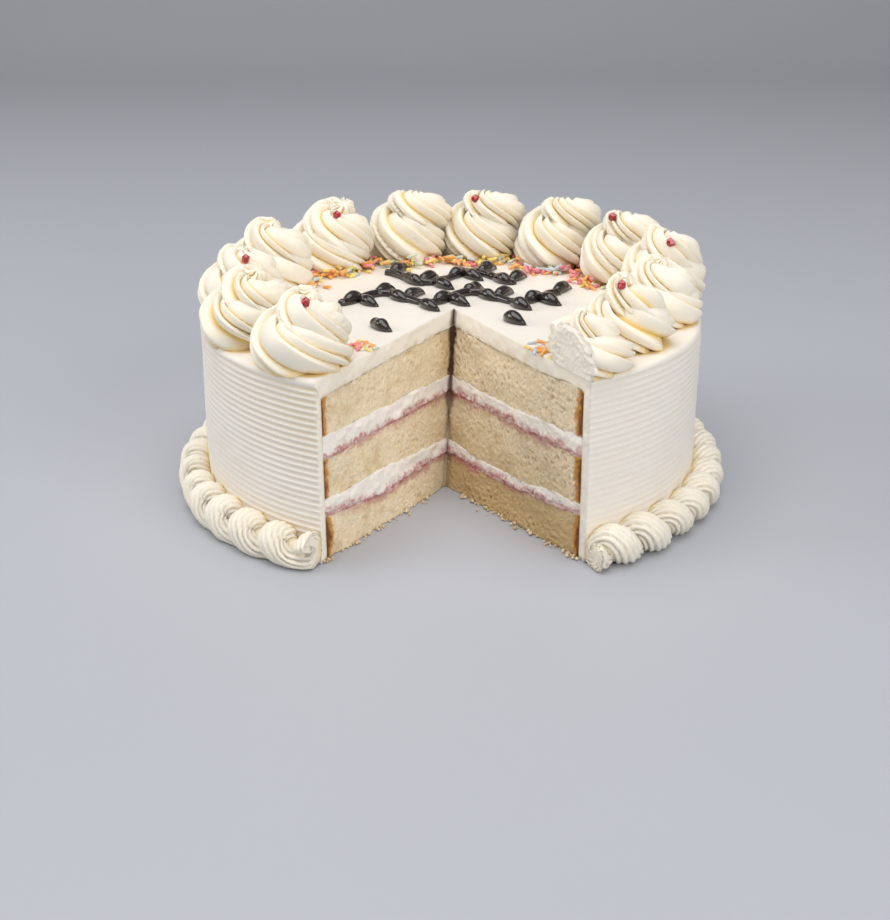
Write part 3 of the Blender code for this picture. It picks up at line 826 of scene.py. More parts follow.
def swirl_surface(number, sizes):
    """A piped swirl: a star-shaped rope wound almost two and a half times, over (along, angle).

    The section is an ellipse whose reach is cut back between its lobes, each of which
    rises slowly and drops steeply. The star turns as the rope runs on, so that its ridges
    climb over the coil, and the rope narrows to a point at the top. The swirls at the back
    have two ridges more.
    """
    radius, height, *_, spread = SWIRLS[number][2:]
    along = np.linspace(0.0, 1.0, SWIRL_ROWS)
    path, out = swirl_path(number, along)
    # The rope's own axes: side points out of the coil, third stands across it
    tangent = np.gradient(path, axis=0)
    tangent = tangent / np.linalg.norm(tangent, axis=1)[:, None]
    side = out - np.sum(out * tangent, axis=1)[:, None] * tangent
    side = side / np.linalg.norm(side, axis=1)[:, None]
    third = np.cross(tangent, side)
    angle = 2.0 * math.pi * np.arange(SWIRL_AROUND + 1)[None, :] / SWIRL_AROUND
    twist = sizes.twist * along[:, None]
    ridges = sizes.ridges + 2 * (number in BACK_SWIRLS)
    # The star: ridges of uneven width, each with a depth of its own
    turned = (angle - twist) / (2.0 * math.pi) * ridges
    turned = turned + 0.30 * np.sin(turned * 2.0 * math.pi * 3.0 / ridges + number)
    number_of = np.floor(turned + 1e-9) % ridges
    own = scrambled(number_of.astype(np.int64), np.int64(0), np.int64(0), 200 + number)
    across = turned % 1.0
    lobe = (1.0 - (1.0 - across) ** 2.4) * ease(1.0 - across, 0.0, 0.22) ** 0.7
    cut = sizes.ridge_depth * (0.60 + 0.8 * own) * (1.0 + 0.5 * ease(along, 0.8, 1.0))[:, None]
    reach = 1.0 - cut * (1.0 - lobe)
    wider = 1.0 + (spread - 1.0) * ease(along, 0.5, 0.8)[:, None]
    wide = radius * rope_stage(along, 3)[:, None] * reach * wider
    tall = height * rope_stage(along, 5)[:, None] * reach
    points = (path[:, None] + (wide * np.cos(angle))[..., None] * side[:, None]
              + (tall * np.sin(angle))[..., None] * third[:, None])
    rough = 0.0004 + 0.0005 * (number in TORN_SWIRLS)
    torn = rough * np.abs(noise(points, 0.0022, 81)) * ease(noise(points, 0.014, 82), 0.0, 0.5)
    bumps = 0.0006 * noise(points, 0.007, 80) - torn
    flow = np.cos(angle)[..., None] * side[:, None] + np.sin(angle)[..., None] * third[:, None]
    points = points + (bumps * ease(1.0 - along, 0.0, 0.05)[:, None])[..., None] * flow
    points[..., 2] = np.maximum(points[..., 2], HEIGHT - 0.0005)
    # Painted shade deepens the colour in the crevices, on the inside of the coil and at the foot
    crevice_shade = ease(1.0 - lobe, 0.45, 1.0) * np.clip(cut / sizes.ridge_depth, 0.0, 1.0)
    inside = ease(-np.cos(angle), 0.1, 0.9) * ease(1.0 - along, 0.1, 0.4)[:, None]
    low = 0.75 * ease(HEIGHT + 0.009 - points[..., 2], 0.0, 0.009) * ease(1.0 - lobe, 0.1, 0.7)
    low = np.maximum(low, 0.7 * ease(HEIGHT + 0.003 - points[..., 2], 0.0, 0.003))
    return points, np.maximum(np.maximum(crevice_shade, inside), low)


def sliced(points, turn):
    """Points beyond a cut are pressed onto it, roughened as a knife leaves cream."""
    normal = cut_normal(turn)
    beyond = (points - apex_point(HEIGHT)) @ normal
    flat = points - np.maximum(beyond, 0.0)[..., None] * normal
    rough = 0.0004 * noise(flat, 0.003, 91) * (beyond > 0.0)
    return flat + rough[..., None] * normal, ease(beyond, -0.0002, 0.0004)


def cut_plate(points, cut, turn):
    """The cut through a swirl: a rough sheet, and the same sheet a little behind it.

    At each height it is as wide as the pressed points there, ragged at both sides, and it
    tapers towards the top.
    """
    normal = cut_normal(turn)
    along = np.array([-normal[1], normal[0], 0.0])
    pressed = points[cut > 0.9]
    place, height = pressed @ along, pressed[:, 2]
    level = np.linspace(HEIGHT - 0.0004, height.max() - 0.0003, PLATE_STEPS)
    near = np.abs(height[None, :] - level[:, None]) < 0.0008
    low = np.where(near, place, 9.0).min(axis=1)
    high = np.where(near, place, -9.0).max(axis=1)
    share = np.linspace(0.0, 1.0, PLATE_STEPS)
    ragged = 0.0014 * noise(level[:, None] * (1.0, 0.0, 0.0), 0.0017, 96)
    low, high = low - ragged, high + 0.8 * ragged[::-1]
    middle = 0.5 * (low + high)
    half = 0.5 * (high - low) * (1.0 - 0.4 * ease(share, 0.3, 1.0))
    spread = (middle - half)[:, None] + 2.0 * half[:, None] * share
    offset = (apex_point(HEIGHT) @ normal) * normal
    sheet = offset + spread[..., None] * along + level[:, None, None] * (0.0, 0.0, 1.0)
    rough = 0.00035 * noise(sheet, 0.004, 93) + 0.0003 * noise(sheet, 0.0011, 94)
    rim = ease(share, 0.0, 0.1) * ease(1.0 - share, 0.0, 0.1)
    rim = rim * ease(share[::-1], 0.0, 0.08)[:, None]
    lift = 0.0002 + (0.0005 + rough) * rim
    front = sheet + lift[..., None] * normal
    return front, sheet - 0.0010 * normal


def close_end(surface, ring, **values):
    """Close a tube by a band from its end ring, whose ends meet, to the ring's middle."""
    middle = np.broadcast_to(ring[:-1].mean(axis=0), ring.shape)
    surface.add(np.stack([ring, middle]), **values)


def build_swirls(context):
    """The thirteen swirls, the last of them pressed onto the right cut and closed there."""
    sizes = context.scene.cake_sizes
    colours = context.scene.cake_colours
    materials = [icing_material("piped icing", colours, colours.piping, colours.piping_shade),
                 icing_material("cut piped icing", colours, colours.piping, colours.icing_cut)]
    for number in range(len(SWIRLS)):
        points, hollow = swirl_surface(number, sizes)
        cut = np.zeros(hollow.shape)
        if number == len(SWIRLS) - 1:
            points, cut = sliced(points, 1.0)
            front, back = cut_plate(points, cut, 1.0)
        surface = Surface()
        surface.add(points, hollow=hollow * (1.0 - cut), cut=cut)
        if cut.any():
            surface.add(front, cut=1.0, crumb=0.12 * ease(noise(front, 0.0012, 95), 0.45, 0.8))
            surface.add(back)
            for line in (np.s_[0], np.s_[-1], np.s_[:, 0], np.s_[:, -1]):
                surface.add(np.stack([front[line], back[line]]))
        close_end(surface, points[0])
        close_end(surface, points[-1])
        name = f"swirl_{number + 1:02d}"
        finish_surface(name, surface, materials, "icing", f"rosette_{number + 1:02d}")


# Foot border

# Middle of the coil, outwards from the cake's side and up; its two half sizes; the rope's two
# half sizes; and the points of the rope's star
COIL_OUT = 0.0054
COIL_UP = 0.0070
COIL_HALF_WIDTH = 0.0028
COIL_HALF_HEIGHT = 0.0036
ROPE_HALF_WIDTH = 0.0047
ROPE_HALF_HEIGHT = 0.0060
BORDER_LOBES = 13
CURL_STEPS = 28
BORDER_AROUND = 91
CORE_SHADE = 0.35


def border_rope(curls):
    """A star-shaped rope wound round a ring, over (along, angle), and the painted shade in its hollows.

    The rope's middle runs on a coil, one turn to a curl: its distance from the axis is that
    of the coil's middle plus the coil's half width times the cosine of its phase, and its
    height is that of the coil's middle less the coil's half height times the sine. Its
    section is a star of thirteen lobes. Both ends are pressed onto the cuts.
    """
    begin = LEFT_CORNER + 0.03
    span = 2.0 * math.pi + LEFT_CORNER - RIGHT_CORNER + 0.06
    curl = np.linspace(0.0, curls, curls * CURL_STEPS + 1)
    azimuth = begin - span * (1.0 - curl / curls)
    uneven = noise(curl[:, None] * (1.0, 0.0, 0.0), 1.7, 33)
    phase = 2.0 * math.pi * curl + 0.4 * uneven
    scale = 1.0 + 0.07 * uneven
    axis = ring_point(azimuth, RADIUS + COIL_OUT, COIL_UP)
    out = ring_point(azimuth, 1.0, 0.0)
    up = np.array([0.0, 0.0, 1.0])
    from_axis = (np.cos(phase) * COIL_HALF_WIDTH * scale)[:, None] * out
    from_axis = from_axis - (np.sin(phase) * COIL_HALF_HEIGHT * scale)[:, None] * up
    lean = 0.0020 - 0.0020 * np.sin(azimuth)
    sideways = np.stack([np.cos(azimuth), np.sin(azimuth), np.zeros_like(azimuth)], axis=1)
    path = axis + from_axis - (lean * np.cos(phase))[:, None] * sideways
    along = np.gradient(path, axis=0)
    along = along / np.linalg.norm(along, axis=1)[:, None]
    side = from_axis - np.sum(from_axis * along, axis=1)[:, None] * along
    side = side / np.linalg.norm(side, axis=1)[:, None]
    third = np.cross(along, side)
    angle = 2.0 * math.pi * np.arange(BORDER_AROUND + 1)[None, :] / BORDER_AROUND
    turned = (angle + 2.6 * curl[:, None]) / (2.0 * math.pi) * BORDER_LOBES
    ridge = np.floor(turned + 1e-9).astype(np.int64) % BORDER_LOBES
    own = scrambled(ridge, np.int64(1), np.int64(1), 300)
    lobe = np.sin(math.pi * (turned % 1.0) ** 1.3) ** 0.5
    reach = scale[:, None] * (1.05 - (0.20 + 0.18 * own) * (1.0 - lobe))
    reach[[0, -1]] *= 0.01
    points = path[:, None] + (ROPE_HALF_WIDTH * reach * np.cos(angle))[..., None] * side[:, None]
    points = points + (ROPE_HALF_HEIGHT * reach * np.sin(angle))[..., None] * third[:, None]
    points = points + 0.0003 * noise(points, 0.003, 34)[..., None] * side[:, None]
    points[..., 2] = np.maximum(points[..., 2], 0.0)
    for turn in (0.0, 1.0):
        near = np.cos(azimuth - azimuth_of(turn)) > 0.9
        points[near] = sliced(points[near], turn)[0]
    # Painted shade between the lobes and where the rope meets the cake's side
    hollow = np.broadcast_to(ease(1.0 - lobe, 0.3, 1.0), reach.shape)
    inner = ease(RADIUS + 0.0032 - np.hypot(points[..., 0], points[..., 1]), 0.0, 0.003)
    return points, np.maximum(0.65 * hollow, 0.7 * inner)


def border_core():
    """A round, slightly uneven tube inside the coil, from one cut to the other."""
    turn = np.linspace(0.004, 0.996, 160)[:, None]
    round_core = 2.0 * math.pi * np.arange(17)[None, :] / 16.0
    core = ring_point(azimuth_of(turn), RADIUS + 0.0045 + 0.0040 * np.cos(round_core),
                      0.0058 + 0.0042 * np.sin(round_core))
    core = core + 0.0004 * noise(core, 0.003, 35)[..., None] * (0.0, 0.0, 1.0)
    core[:, -1] = core[:, 0]
    return core


def build_border(context):
    """The border round the foot: the rope, and a core that closes the gaps between its curls."""
    points, hollow = border_rope(context.scene.cake_sizes.border_curls)
    surface = Surface()
    surface.add(points, hollow=hollow)
    for end in (points[0], points[-1]):
        middle = np.broadcast_to(end.mean(axis=0), end.shape)
        surface.add(np.stack([end, middle]))
    core = border_core()
    surface.add(core, hollow=CORE_SHADE)
    close_end(surface, core[0], hollow=CORE_SHADE)
    close_end(surface, core[-1], hollow=CORE_SHADE)
    colours = context.scene.cake_colours
    material = icing_material("border icing", colours, colours.piping, colours.piping_shade)
    finish_surface("foot_border", surface, [material], "icing", "border")


# Garland, strands, crystals

# Middle, half length, waves and wave height of each stem; foot and side of each lone leaf
STEMS = (((0.0, 0.047), 0.029, 1.5, 0.0080), ((0.0, 0.015), 0.047, 2.5, 0.0075))
LONE_LEAVES = (((-0.0310, -0.0200), -1.0), ((0.0215, -0.0120), -1.0))
STROKE = 0.0033
STEM_STEPS = 120
STRAND_LENGTHS = (0.0034, 0.0056)
STRAND_HALF_WIDTH = 0.00072
# Degrees round the back over which strands lie, and the middles of the two front patches
STRAND_ARC = (112.0, 247.0)
LEFT_PATCH = (-0.0345, -0.0500, 0.0)
RIGHT_PATCH = (0.0365, -0.0520, 0.0)
STRAND_NAMES = ("orange", "yellow", "pink", "blue", "mint")
CRYSTAL_SIZE = 0.0020
CRUMB_SIZES = (0.00025, 0.00085)
# Turn and number of the crumbs along each cut
CRUMB_COUNTS = ((0.0, 45), (1.0, 75))


def leaf_line(foot, side):
    """A leaf: a quarter sine that bends away from its foot, swelling and then tapering."""
    share = np.linspace(0.0, 1.0, 22)
    x = foot[0] + 0.0085 * share
    y = foot[1] + side * 0.0095 * np.sin(share * math.pi * 0.5)
    width = STROKE * (0.75 + 0.9 * np.sin(math.pi * share ** 0.8)) * (1.0 - 0.55 * share ** 3)
    return np.stack([x, y], axis=1), width


def garland_lines():
    """Plan lines and widths of two waving stems, their leaves and two lone leaves."""
    lines = []
    for (x, y), half, waves, height in STEMS:
        share = np.linspace(-1.0, 1.0, STEM_STEPS)
        wave = y + height * np.sin(math.pi * waves * share)
        lines.append((np.stack([x + half * share, wave], axis=1), np.full(STEM_STEPS, STROKE)))
        leaves = int(waves * 6)
        for leaf in range(leaves):
            at = -1.0 + 2.0 * (leaf + 0.5) / leaves
            foot = (x + half * at, y + height * math.sin(math.pi * waves * at))
            lines.append(leaf_line(foot, 1.0 if leaf % 2 == 0 else -1.0))
    lines += [leaf_line(foot, side) for foot, side in LONE_LEAVES]
    return lines


def piped_line(plan, width, seed):
    """A round bead along a line on the top, flattened where it lies and closed at its ends."""
    along = np.gradient(plan, axis=0)
    along = along / np.linalg.norm(along, axis=1)[:, None]
    rows = len(plan)
    from_end = np.minimum(np.arange(rows), np.arange(rows)[::-1]) / 3.0
    close = np.sqrt(1.0 - (1.0 - np.clip(from_end, 0.0, 1.0)) ** 2)
    angle = 2.0 * math.pi * np.arange(17) / 16.0
    place = np.concatenate([plan, np.zeros((rows, 1))], axis=1)
    reach = 0.5 * width * close * (1.0 + 0.12 * noise(place, 0.003, seed))
    across = reach[:, None] * np.cos(angle)
    height = top_height(place)[:, None] + reach[:, None] * (0.75 + 0.95 * np.sin(angle))
    x = plan[:, :1] - along[:, 1:] * across
    y = plan[:, 1:] + along[:, :1] * across
    return np.stack([x, y, height], axis=-1)


def build_garland(context):
    """The piped chocolate garland on the top."""
    surface = Surface()
    for number, (plan, width) in enumerate(garland_lines()):
        surface.add(piped_line(plan, width, 100 + number))
    material = chocolate_material(context.scene.cake_colours)
    finish_surface("piped_garland", surface, [material], "icing")


def swirl_edge(azimuth):
    """Distance from the axis at which a line at an azimuth meets the foot of a swirl."""
    nearest = np.full(azimuth.shape, 0.084)
    for there, distance, radius, *_ in SWIRLS:
        off = azimuth - math.radians(there)
        across = distance * np.sin(off)
        inside = (radius * 0.98) ** 2 - across ** 2
        reach = distance * np.cos(off) - np.sqrt(np.maximum(inside, 0.0))
        met = (inside > 0.0) & (np.cos(off) > 0.0)
        nearest = np.where(met, np.minimum(nearest, reach), nearest)
    return nearest


def strand_places(count, draw):
    """Middles of the strands: heaped at the feet of the back swirls, and in two patches."""
    azimuth = np.radians(draw.uniform(*STRAND_ARC, count))
    back = swirl_edge(azimuth) - np.abs(draw.normal(0.0, 0.0032, count)) + 0.0010
    places = ring_point(azimuth, back, 0.0)
    patch = draw.random(count) < 0.14
    left = draw.random(count) < 0.6
    spots = np.where(left[:, None], LEFT_PATCH, RIGHT_PATCH)
    spread = draw.normal(0.0, 0.0030, (count, 3)) * (1.0, 1.0, 0.0)
    places = np.where(patch[:, None], spots + spread, places)
    heap = np.abs(draw.normal(0.0, 0.0015, count)) * ~patch
    places[:, 2] = top_height(places) + 0.0005 + heap
    return places


def build_strands(context):
    """Sugar strands: many rounded rods as one mesh, in five colours."""
    sizes, colours = context.scene.cake_sizes, context.scene.cake_colours
    draw = np.random.default_rng(5)
    count = sizes.strands
    middle = strand_places(count, draw)
    heading = draw.uniform(0.0, math.pi, count)
    tilt = draw.normal(0.0, 0.22, count)
    along = np.stack([np.cos(heading) * np.cos(tilt), np.sin(heading) * np.cos(tilt),
                      np.sin(tilt)], axis=1)
    side = np.stack([-np.sin(heading), np.cos(heading), np.zeros_like(heading)], axis=1)
    third = np.cross(along, side)
    length = draw.uniform(*STRAND_LENGTHS, count)
    reach = np.array([-1.0, -0.97, -0.88, 0.88, 0.97, 1.0]) * 0.5
    width = np.array([0.0, 0.6, 1.0, 1.0, 0.6, 0.0]) * STRAND_HALF_WIDTH
    angle = 2.0 * math.pi * np.arange(9) / 8.0
    line = middle[:, None] + (length[:, None] * reach)[..., None] * along[:, None]
    ring = (np.cos(angle)[:, None] * side[:, None, :] + np.sin(angle)[:, None] * third[:, None, :])
    points = line[:, :, None] + width[None, :, None, None] * ring[:, None]
    points[..., 2] = np.maximum(points[..., 2], HEIGHT - 0.0004)
    surface = Surface()
    one = grid_faces(len(reach), len(angle))
    points_each = len(reach) * len(angle)
    faces = (one[None] + points_each * np.arange(count)[:, None, None]).reshape(-1, 4)
    surface.add(points.reshape(-1, 3), faces)
    joined, quads, values = surface.welded()
    corners = triangles_of(quads)
    parent = np.zeros(len(joined), int)
    parent[quads.ravel()] = (faces // points_each).ravel()
    # Orange and yellow are mixed, pink lies in drifts, and pale blue and mint are strewn in
    spill = noise(middle, 0.011, 120) + 0.35 * draw.normal(0.0, 1.0, count)
    warm = draw.choice(2, size=count, p=(0.55, 0.45))
    hues = np.where(spill > 0.28, 2, warm)
    hues = np.where(draw.random(count) < 0.24, draw.choice((3, 4), size=count), hues)
    looks = hues[parent[corners[:, 0]]]
    materials = [sugar_material(name + " strand", shade(getattr(colours, "strand_" + name)))
                 for name in STRAND_NAMES]
    piece = add_piece("sugar_strands", joined, corners, values, materials, looks)


# Swirl number, distance to the right of its middle and height above the top of each crystal
CRYSTALS = ((0, 0.0026, 0.0256), (2, 0.0032, 0.0243), (4, 0.0048, 0.0268), (6, -0.0018, 0.0290),
            (8, -0.0036, 0.0292), (9, 0.0012, 0.0262), (11, -0.0040, 0.0248))


def front_point(number, sizes, right, height):
    """The foremost point of a swirl near a place to the right of its middle and up."""
    azimuth, distance = SWIRLS[number][:2]
    centre = ring_point(math.radians(azimuth), distance, HEIGHT)
    points = swirl_surface(number, sizes)[0].reshape(-1, 3)
    off = np.hypot(points[:, 0] - centre[0] - right, points[:, 2] - centre[2] - height)
    return points[np.argmin(points[:, 1] + 4.0 * np.maximum(off - 0.0006, 0.0))]


def lump(centre, size, draw, rings, sides):
    """An uneven stone over (ring, side): a squat ball whose corners are pushed in and out."""
    tall = np.linspace(-1.0, 1.0, rings)[:, None]
    angle = 2.0 * math.pi * np.arange(sides + 1)[None, :] / sides
    wide = np.sqrt(np.maximum(1.0 - tall ** 2, 0.0))
    jitter = draw.uniform(0.75, 1.12, (rings, sides + 1))
    jitter[:, -1] = jitter[:, 0]
    stone = np.broadcast_arrays(wide * np.cos(angle) * jitter, wide * np.sin(angle) * jitter,
                                1.1 * tall)
    return centre + size * np.stack(stone, axis=-1)


def build_crystals(context):
    """Red sugar crystals: uneven faceted stones set in the swirls."""
    surface = Surface()
    draw = np.random.default_rng(8)
    for number, right, height in CRYSTALS:
        centre = front_point(number, context.scene.cake_sizes, right, height)
        surface.add(lump(centre, CRYSTAL_SIZE, draw, 5, 7))
    material = crystal_material(context.scene.cake_colours)
    finish_surface("sugar_crystals", surface, [material], "icing", smooth=False)


def build_crumbs(context):
    """Loose crumbs along the foot of both cuts, most of them out by the crust."""
    surface = Surface()
    draw = np.random.default_rng(21)
    for turn, count in CRUMB_COUNTS:
        for _ in range(count):
            share = 1.0 - 0.85 * draw.random() ** 1.3
            size = draw.uniform(*CRUMB_SIZES)
            foot = food_point(share, turn, 0.0, SPONGE_RADIUS + 0.0025)
            away = draw.exponential(0.0007) + 0.0003
            centre = foot + away * cut_normal(turn) + np.array([0.0, 0.0, 0.8 * size])
            surface.add(lump(centre, size, draw, 4, 6), tan=draw.random(), crust=0.4 * draw.random())
    points, faces, values = surface.welded()
    points[:, 2] = np.maximum(points[:, 2], 0.0)
    faces = triangles_of(faces)
    material = sponge_material(context.scene.cake_colours)
    piece = add_piece("loose_crumbs", points, faces, values, [material])


# Stage

def build_floor(context):
    """A pale floor that is level, then bends up by a quarter circle into the backdrop."""
    along = np.linspace(0.0, 1.0, 60)
    flat = np.minimum(along * 7.0, FLOOR_LENGTH)
    bend = np.clip((along - 0.6) / 0.3, 0.0, 1.0) * math.pi / 2.0
    rise = np.maximum(along - 0.9, 0.0) * 20.0
    y = -FLOOR_REACH + flat + FLOOR_BEND * np.sin(bend)
    z = FLOOR_BEND * (1.0 - np.cos(bend)) + rise - FLOOR_GAP
    x = np.linspace(-FLOOR_REACH, FLOOR_REACH, 40)
    points = np.stack(np.broadcast_arrays(x[None, :], y[:, None], z[:, None]), axis=-1)
    mesh = bpy.data.meshes.new("floor")
    faces = grid_faces(len(y), len(x))
    mesh.from_pydata(points.reshape(-1, 3).tolist(), [], faces.tolist())
    mesh.materials.append(stage_material("pale floor", shade(context.scene.cake_colours.floor), 0.6))
    mesh.polygons.foreach_set("use_smooth", np.full(len(faces), True))
    floor = bpy.data.objects.new("floor", mesh)
    context.scene.collection.objects.link(floor)


def build_stage(context):
    """The floor, the soft lights and the photo's camera."""
    build_floor(context)
    for light in LIGHTS:
        add_light(context, *light)
    world = bpy.data.worlds.new("studio")
    world.use_nodes = True
    sky = world.node_tree.nodes["Background"]
    sky.inputs["Color"].default_value = (1.0, 0.975, 0.95, 1.0)
    sky.inputs["Strength"].default_value = 0.30
    context.scene.world = world
    add_camera(context)
    context.scene.view_settings.view_transform = "Standard"


def add_light(context, name, place, size, power, colour):
    """A square soft light that faces the cake."""
    lamp = bpy.data.lights.new(name, "AREA")
    lamp.shape = "SQUARE"
    lamp.size = size
    lamp.energy = power
    lamp.color = colour
    light = bpy.data.objects.new(name, lamp)
    back = np.array(place) - LIT_POINT
    light.matrix_world = looking(np.array(place), back / np.linalg.norm(back), 0.0)
    context.scene.collection.objects.link(light)


def looking(place, back, roll):
    """Matrix of an eye at a place whose back points along the given unit vector."""
    right = np.cross(np.array([0.0, 0.0, 1.0]), back)
    right = right / np.linalg.norm(right) if np.linalg.norm(right) > 1e-6 else np.array([1.0, 0.0, 0.0])
    up = np.cross(back, right)
    turned = math.cos(roll) * right + math.sin(roll) * up
    raised = -math.sin(roll) * right + math.cos(roll) * up
    matrix = np.eye(4)
    matrix[:3, 0], matrix[:3, 1], matrix[:3, 2], matrix[:3, 3] = turned, raised, back, place
    return Matrix(matrix.tolist())


def add_camera(context):
    """The photo's camera."""
    lens = bpy.data.cameras.new("camera")
    lens.lens = LENS
    lens.sensor_width = SENSOR
    lens.clip_start = 0.01
    camera = bpy.data.objects.new("camera", lens)
    back = np.array([0.0, -math.cos(ELEVATION), math.sin(ELEVATION)])
    camera.matrix_world = looking(TARGET + DISTANCE * back, back, ROLL)
    context.scene.collection.objects.link(camera)
    context.scene.camera = camera


# Add-on

def colour_property(name, description, default):
    """A colour that the panel shows."""
    return bpy.props.FloatVectorProperty(name=name, description=description, default=default,
                                         subtype="COLOR", size=3, min=0.0, max=1.0)


class CakeSizes(bpy.types.PropertyGroup):
    """Counts and sizes of the piped and combed icing and the sugar."""

    comb_grooves: bpy.props.IntProperty(
        name="Comb grooves", description="Grooves that the comb leaves in the side", default=27)
    comb_depth: bpy.props.FloatProperty(
        name="Comb depth", description="Depth of a groove in the side", default=0.00075,
        unit="LENGTH", precision=5)
    ridges: bpy.props.IntProperty(
        name="Rope ridges", description="Ridges of the rope that a swirl is piped from", default=8)
    ridge_depth: bpy.props.FloatProperty(
        name="Ridge depth", description="Depth of the crevices as a share of the rope's size",
        default=0.38)
    twist: bpy.props.FloatProperty(
        name="Rope twist", description="Turn of the star from one end of the rope to the other",
        default=math.radians(860.0), subtype="ANGLE")
    border_curls: bpy.props.IntProperty(
        name="Border curls", description="Curls in the border round the foot", default=36)
    strands: bpy.props.IntProperty(
        name="Sugar strands", description="Number of sugar strands on the top", default=310)


class CakeColours(bpy.types.PropertyGroup):
    """Colours of the cake's own materials and of the floor."""

    icing: colour_property("Icing", "Whipped icing in the light", (0.925, 0.87, 0.80))
    icing_shade: colour_property("Icing patches", "Slightly deeper icing", (0.91, 0.85, 0.765))
    piping: colour_property("Piping", "Icing of the swirls", (0.96, 0.90, 0.785))
    piping_shade: colour_property("Piping patches", "Deeper piping", (0.955, 0.88, 0.735))
    # Colour of the painted shade in the hollows of the icing, the swirls and the border
    hollow: colour_property("Icing hollows", "Icing deep in its crevices", (0.93, 0.69, 0.25))
    icing_cut: colour_property("Cut icing", "Icing where the knife has passed", (0.985, 0.925, 0.81))
    sponge: colour_property("Sponge", "Crumb of the sponge", (0.86, 0.705, 0.47))
    sponge_light: colour_property("Pale sponge", "Walls of the crumb", (0.92, 0.81, 0.61))
    # Also the colour of the painted shade in the pores and low on the right cut
    sponge_dark: colour_property("Sponge pores", "Shaded and toasted crumb", (0.62, 0.44, 0.21))
    crust: colour_property("Crust", "Browned edge of the sponge", (0.60, 0.28, 0.065))
    crust_dark: colour_property("Dark crust", "Most browned parts", (0.20, 0.068, 0.016))
    cream: colour_property("Cream", "Cream between the sponges", (0.985, 0.945, 0.895))
    cream_shade: colour_property("Cream patches", "Deeper cream", (0.965, 0.905, 0.83))
    jam: colour_property("Jam", "Raspberry jam", (0.52, 0.165, 0.18))
    jam_pale: colour_property("Pale jam", "Jam thinned by cream and crumb", (0.84, 0.66, 0.60))
    smear: colour_property("Smear", "Chocolate dragged down the cut", (0.10, 0.045, 0.025))
    chocolate: colour_property("Chocolate", "Piped chocolate", (0.012, 0.007, 0.008))
    chocolate_light: colour_property("Chocolate bloom", "Paler streaks", (0.03, 0.018, 0.018))
    crystal: colour_property("Crystal", "Red sugar crystal", (0.55, 0.012, 0.02))
    crystal_dark: colour_property("Crystal depth", "Depth of the crystal", (0.20, 0.004, 0.008))
    strand_orange: colour_property("Orange strand", "Orange sugar", (0.96, 0.42, 0.09))
    strand_yellow: colour_property("Yellow strand", "Yellow sugar", (0.96, 0.72, 0.18))
    strand_pink: colour_property("Pink strand", "Pink sugar", (0.92, 0.26, 0.30))
    strand_blue: colour_property("Blue strand", "Pale blue sugar", (0.56, 0.64, 0.70))
    strand_mint: colour_property("Mint strand", "Pale green sugar", (0.66, 0.74, 0.56))
    floor: colour_property("Floor", "Pale floor and backdrop", (0.47, 0.49, 0.54))


class CAKE_OT_icing(bpy.types.Operator):
    """Make the icing on the top and the combed side"""
    bl_idname = "cake.icing"
    bl_label = "Icing"

    def execute(self, context):
        build_icing(context)
        return {"FINISHED"}


class CAKE_OT_sponges(bpy.types.Operator):
    """Make the three sponges with their crumb and crust"""
    bl_idname = "cake.sponges"
    bl_label = "Sponges"

    def execute(self, context):
        build_layers(context, ("sponge",))
        return {"FINISHED"}


class CAKE_OT_fillings(bpy.types.Operator):
    """Make the layers of cream and jam"""
    bl_idname = "cake.fillings"
    bl_label = "Cream and jam"

    def execute(self, context):
        build_layers(context, ("cream", "jam"))
        return {"FINISHED"}


class CAKE_OT_swirls(bpy.types.Operator):
    """Make the piped swirls round the top"""
    bl_idname = "cake.swirls"
    bl_label = "Swirls"

    def execute(self, context):
        build_swirls(context)
        return {"FINISHED"}


class CAKE_OT_border(bpy.types.Operator):
    """Make the piped border round the foot"""
    bl_idname = "cake.border"
    bl_label = "Foot border"

    def execute(self, context):
        build_border(context)
        return {"FINISHED"}


class CAKE_OT_garland(bpy.types.Operator):
    """Make the piped chocolate garland"""
    bl_idname = "cake.garland"
    bl_label = "Garland"

    def execute(self, context):
        build_garland(context)
        return {"FINISHED"}


class CAKE_OT_strands(bpy.types.Operator):
    """Scatter the sugar strands"""
    bl_idname = "cake.strands"
    bl_label = "Sugar strands"

    def execute(self, context):
        build_strands(context)
        return {"FINISHED"}


class CAKE_OT_crystals(bpy.types.Operator):
    """Set the red sugar crystals"""
    bl_idname = "cake.crystals"
    bl_label = "Sugar crystals"

    def execute(self, context):
        build_crystals(context)
        return {"FINISHED"}


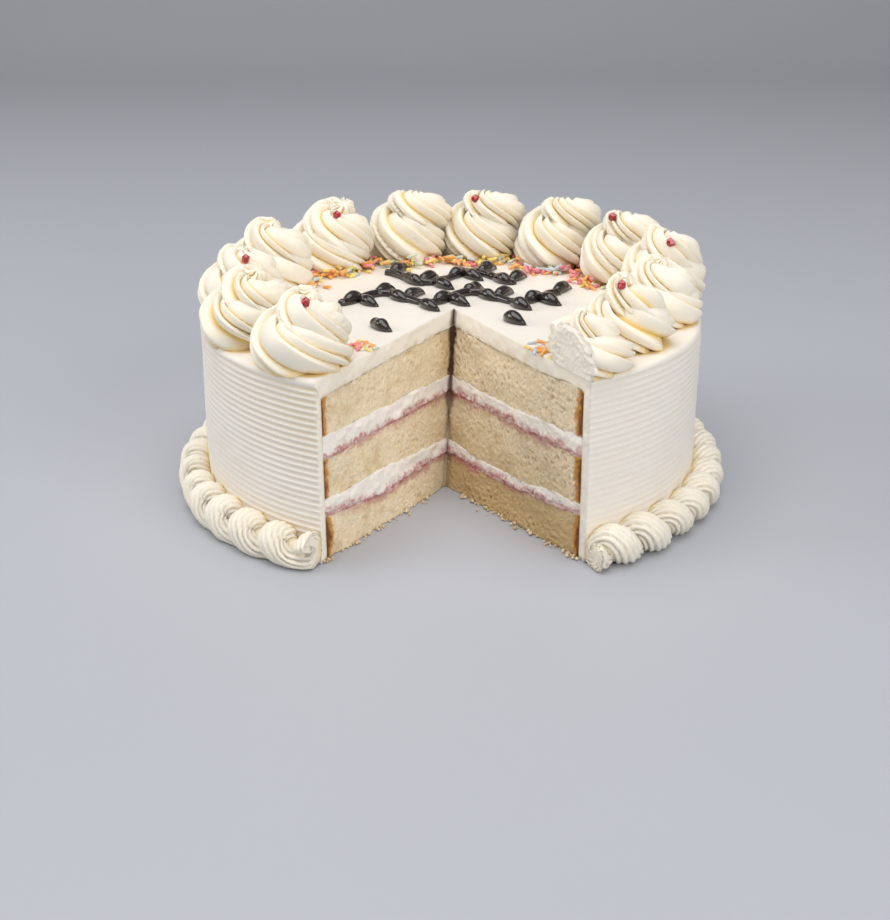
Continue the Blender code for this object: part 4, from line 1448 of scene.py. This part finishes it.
class CAKE_OT_crumbs(bpy.types.Operator):
    """Scatter the loose crumbs"""
    bl_idname = "cake.crumbs"
    bl_label = "Crumbs"

    def execute(self, context):
        build_crumbs(context)
        return {"FINISHED"}


class CAKE_OT_stage(bpy.types.Operator):
    """Make the floor, the lights and the camera"""
    bl_idname = "cake.stage"
    bl_label = "Stage"

    def execute(self, context):
        build_stage(context)
        return {"FINISHED"}


OPERATORS = (CAKE_OT_icing, CAKE_OT_sponges, CAKE_OT_fillings, CAKE_OT_swirls, CAKE_OT_border,
             CAKE_OT_garland, CAKE_OT_strands, CAKE_OT_crystals, CAKE_OT_crumbs, CAKE_OT_stage)


class CAKE_PT_panel(bpy.types.Panel):
    """Lists the cake's pieces, sizes and colours"""
    bl_idname = "CAKE_PT_panel"
    bl_label = "Layer cake"
    bl_space_type = "VIEW_3D"
    bl_region_type = "UI"
    bl_category = "Cake"

    def draw(self, context):
        for operator in OPERATORS:
            self.layout.operator(operator.bl_idname)
        for group in (context.scene.cake_sizes, context.scene.cake_colours):
            box = self.layout.box()
            for name in group.__annotations__:
                box.prop(group, name)


CLASSES = (CakeSizes, CakeColours, *OPERATORS, CAKE_PT_panel)


def register():
    """Add the classes and the scene's two property groups."""
    for one in CLASSES:
        bpy.utils.register_class(one)
    bpy.types.Scene.cake_sizes = bpy.props.PointerProperty(type=CakeSizes)
    bpy.types.Scene.cake_colours = bpy.props.PointerProperty(type=CakeColours)


def unregister():
    """Take away what register added."""
    del bpy.types.Scene.cake_sizes
    del bpy.types.Scene.cake_colours
    for one in reversed(CLASSES):
        bpy.utils.unregister_class(one)


def main():
    """Build every piece and the stage."""
    register()
    bpy.ops.cake.icing()
    bpy.ops.cake.sponges()
    bpy.ops.cake.fillings()
    bpy.ops.cake.swirls()
    bpy.ops.cake.border()
    bpy.ops.cake.garland()
    bpy.ops.cake.strands()
    bpy.ops.cake.crystals()
    bpy.ops.cake.crumbs()
    bpy.ops.cake.stage()
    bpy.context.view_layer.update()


if __name__ == "__main__":
    main()
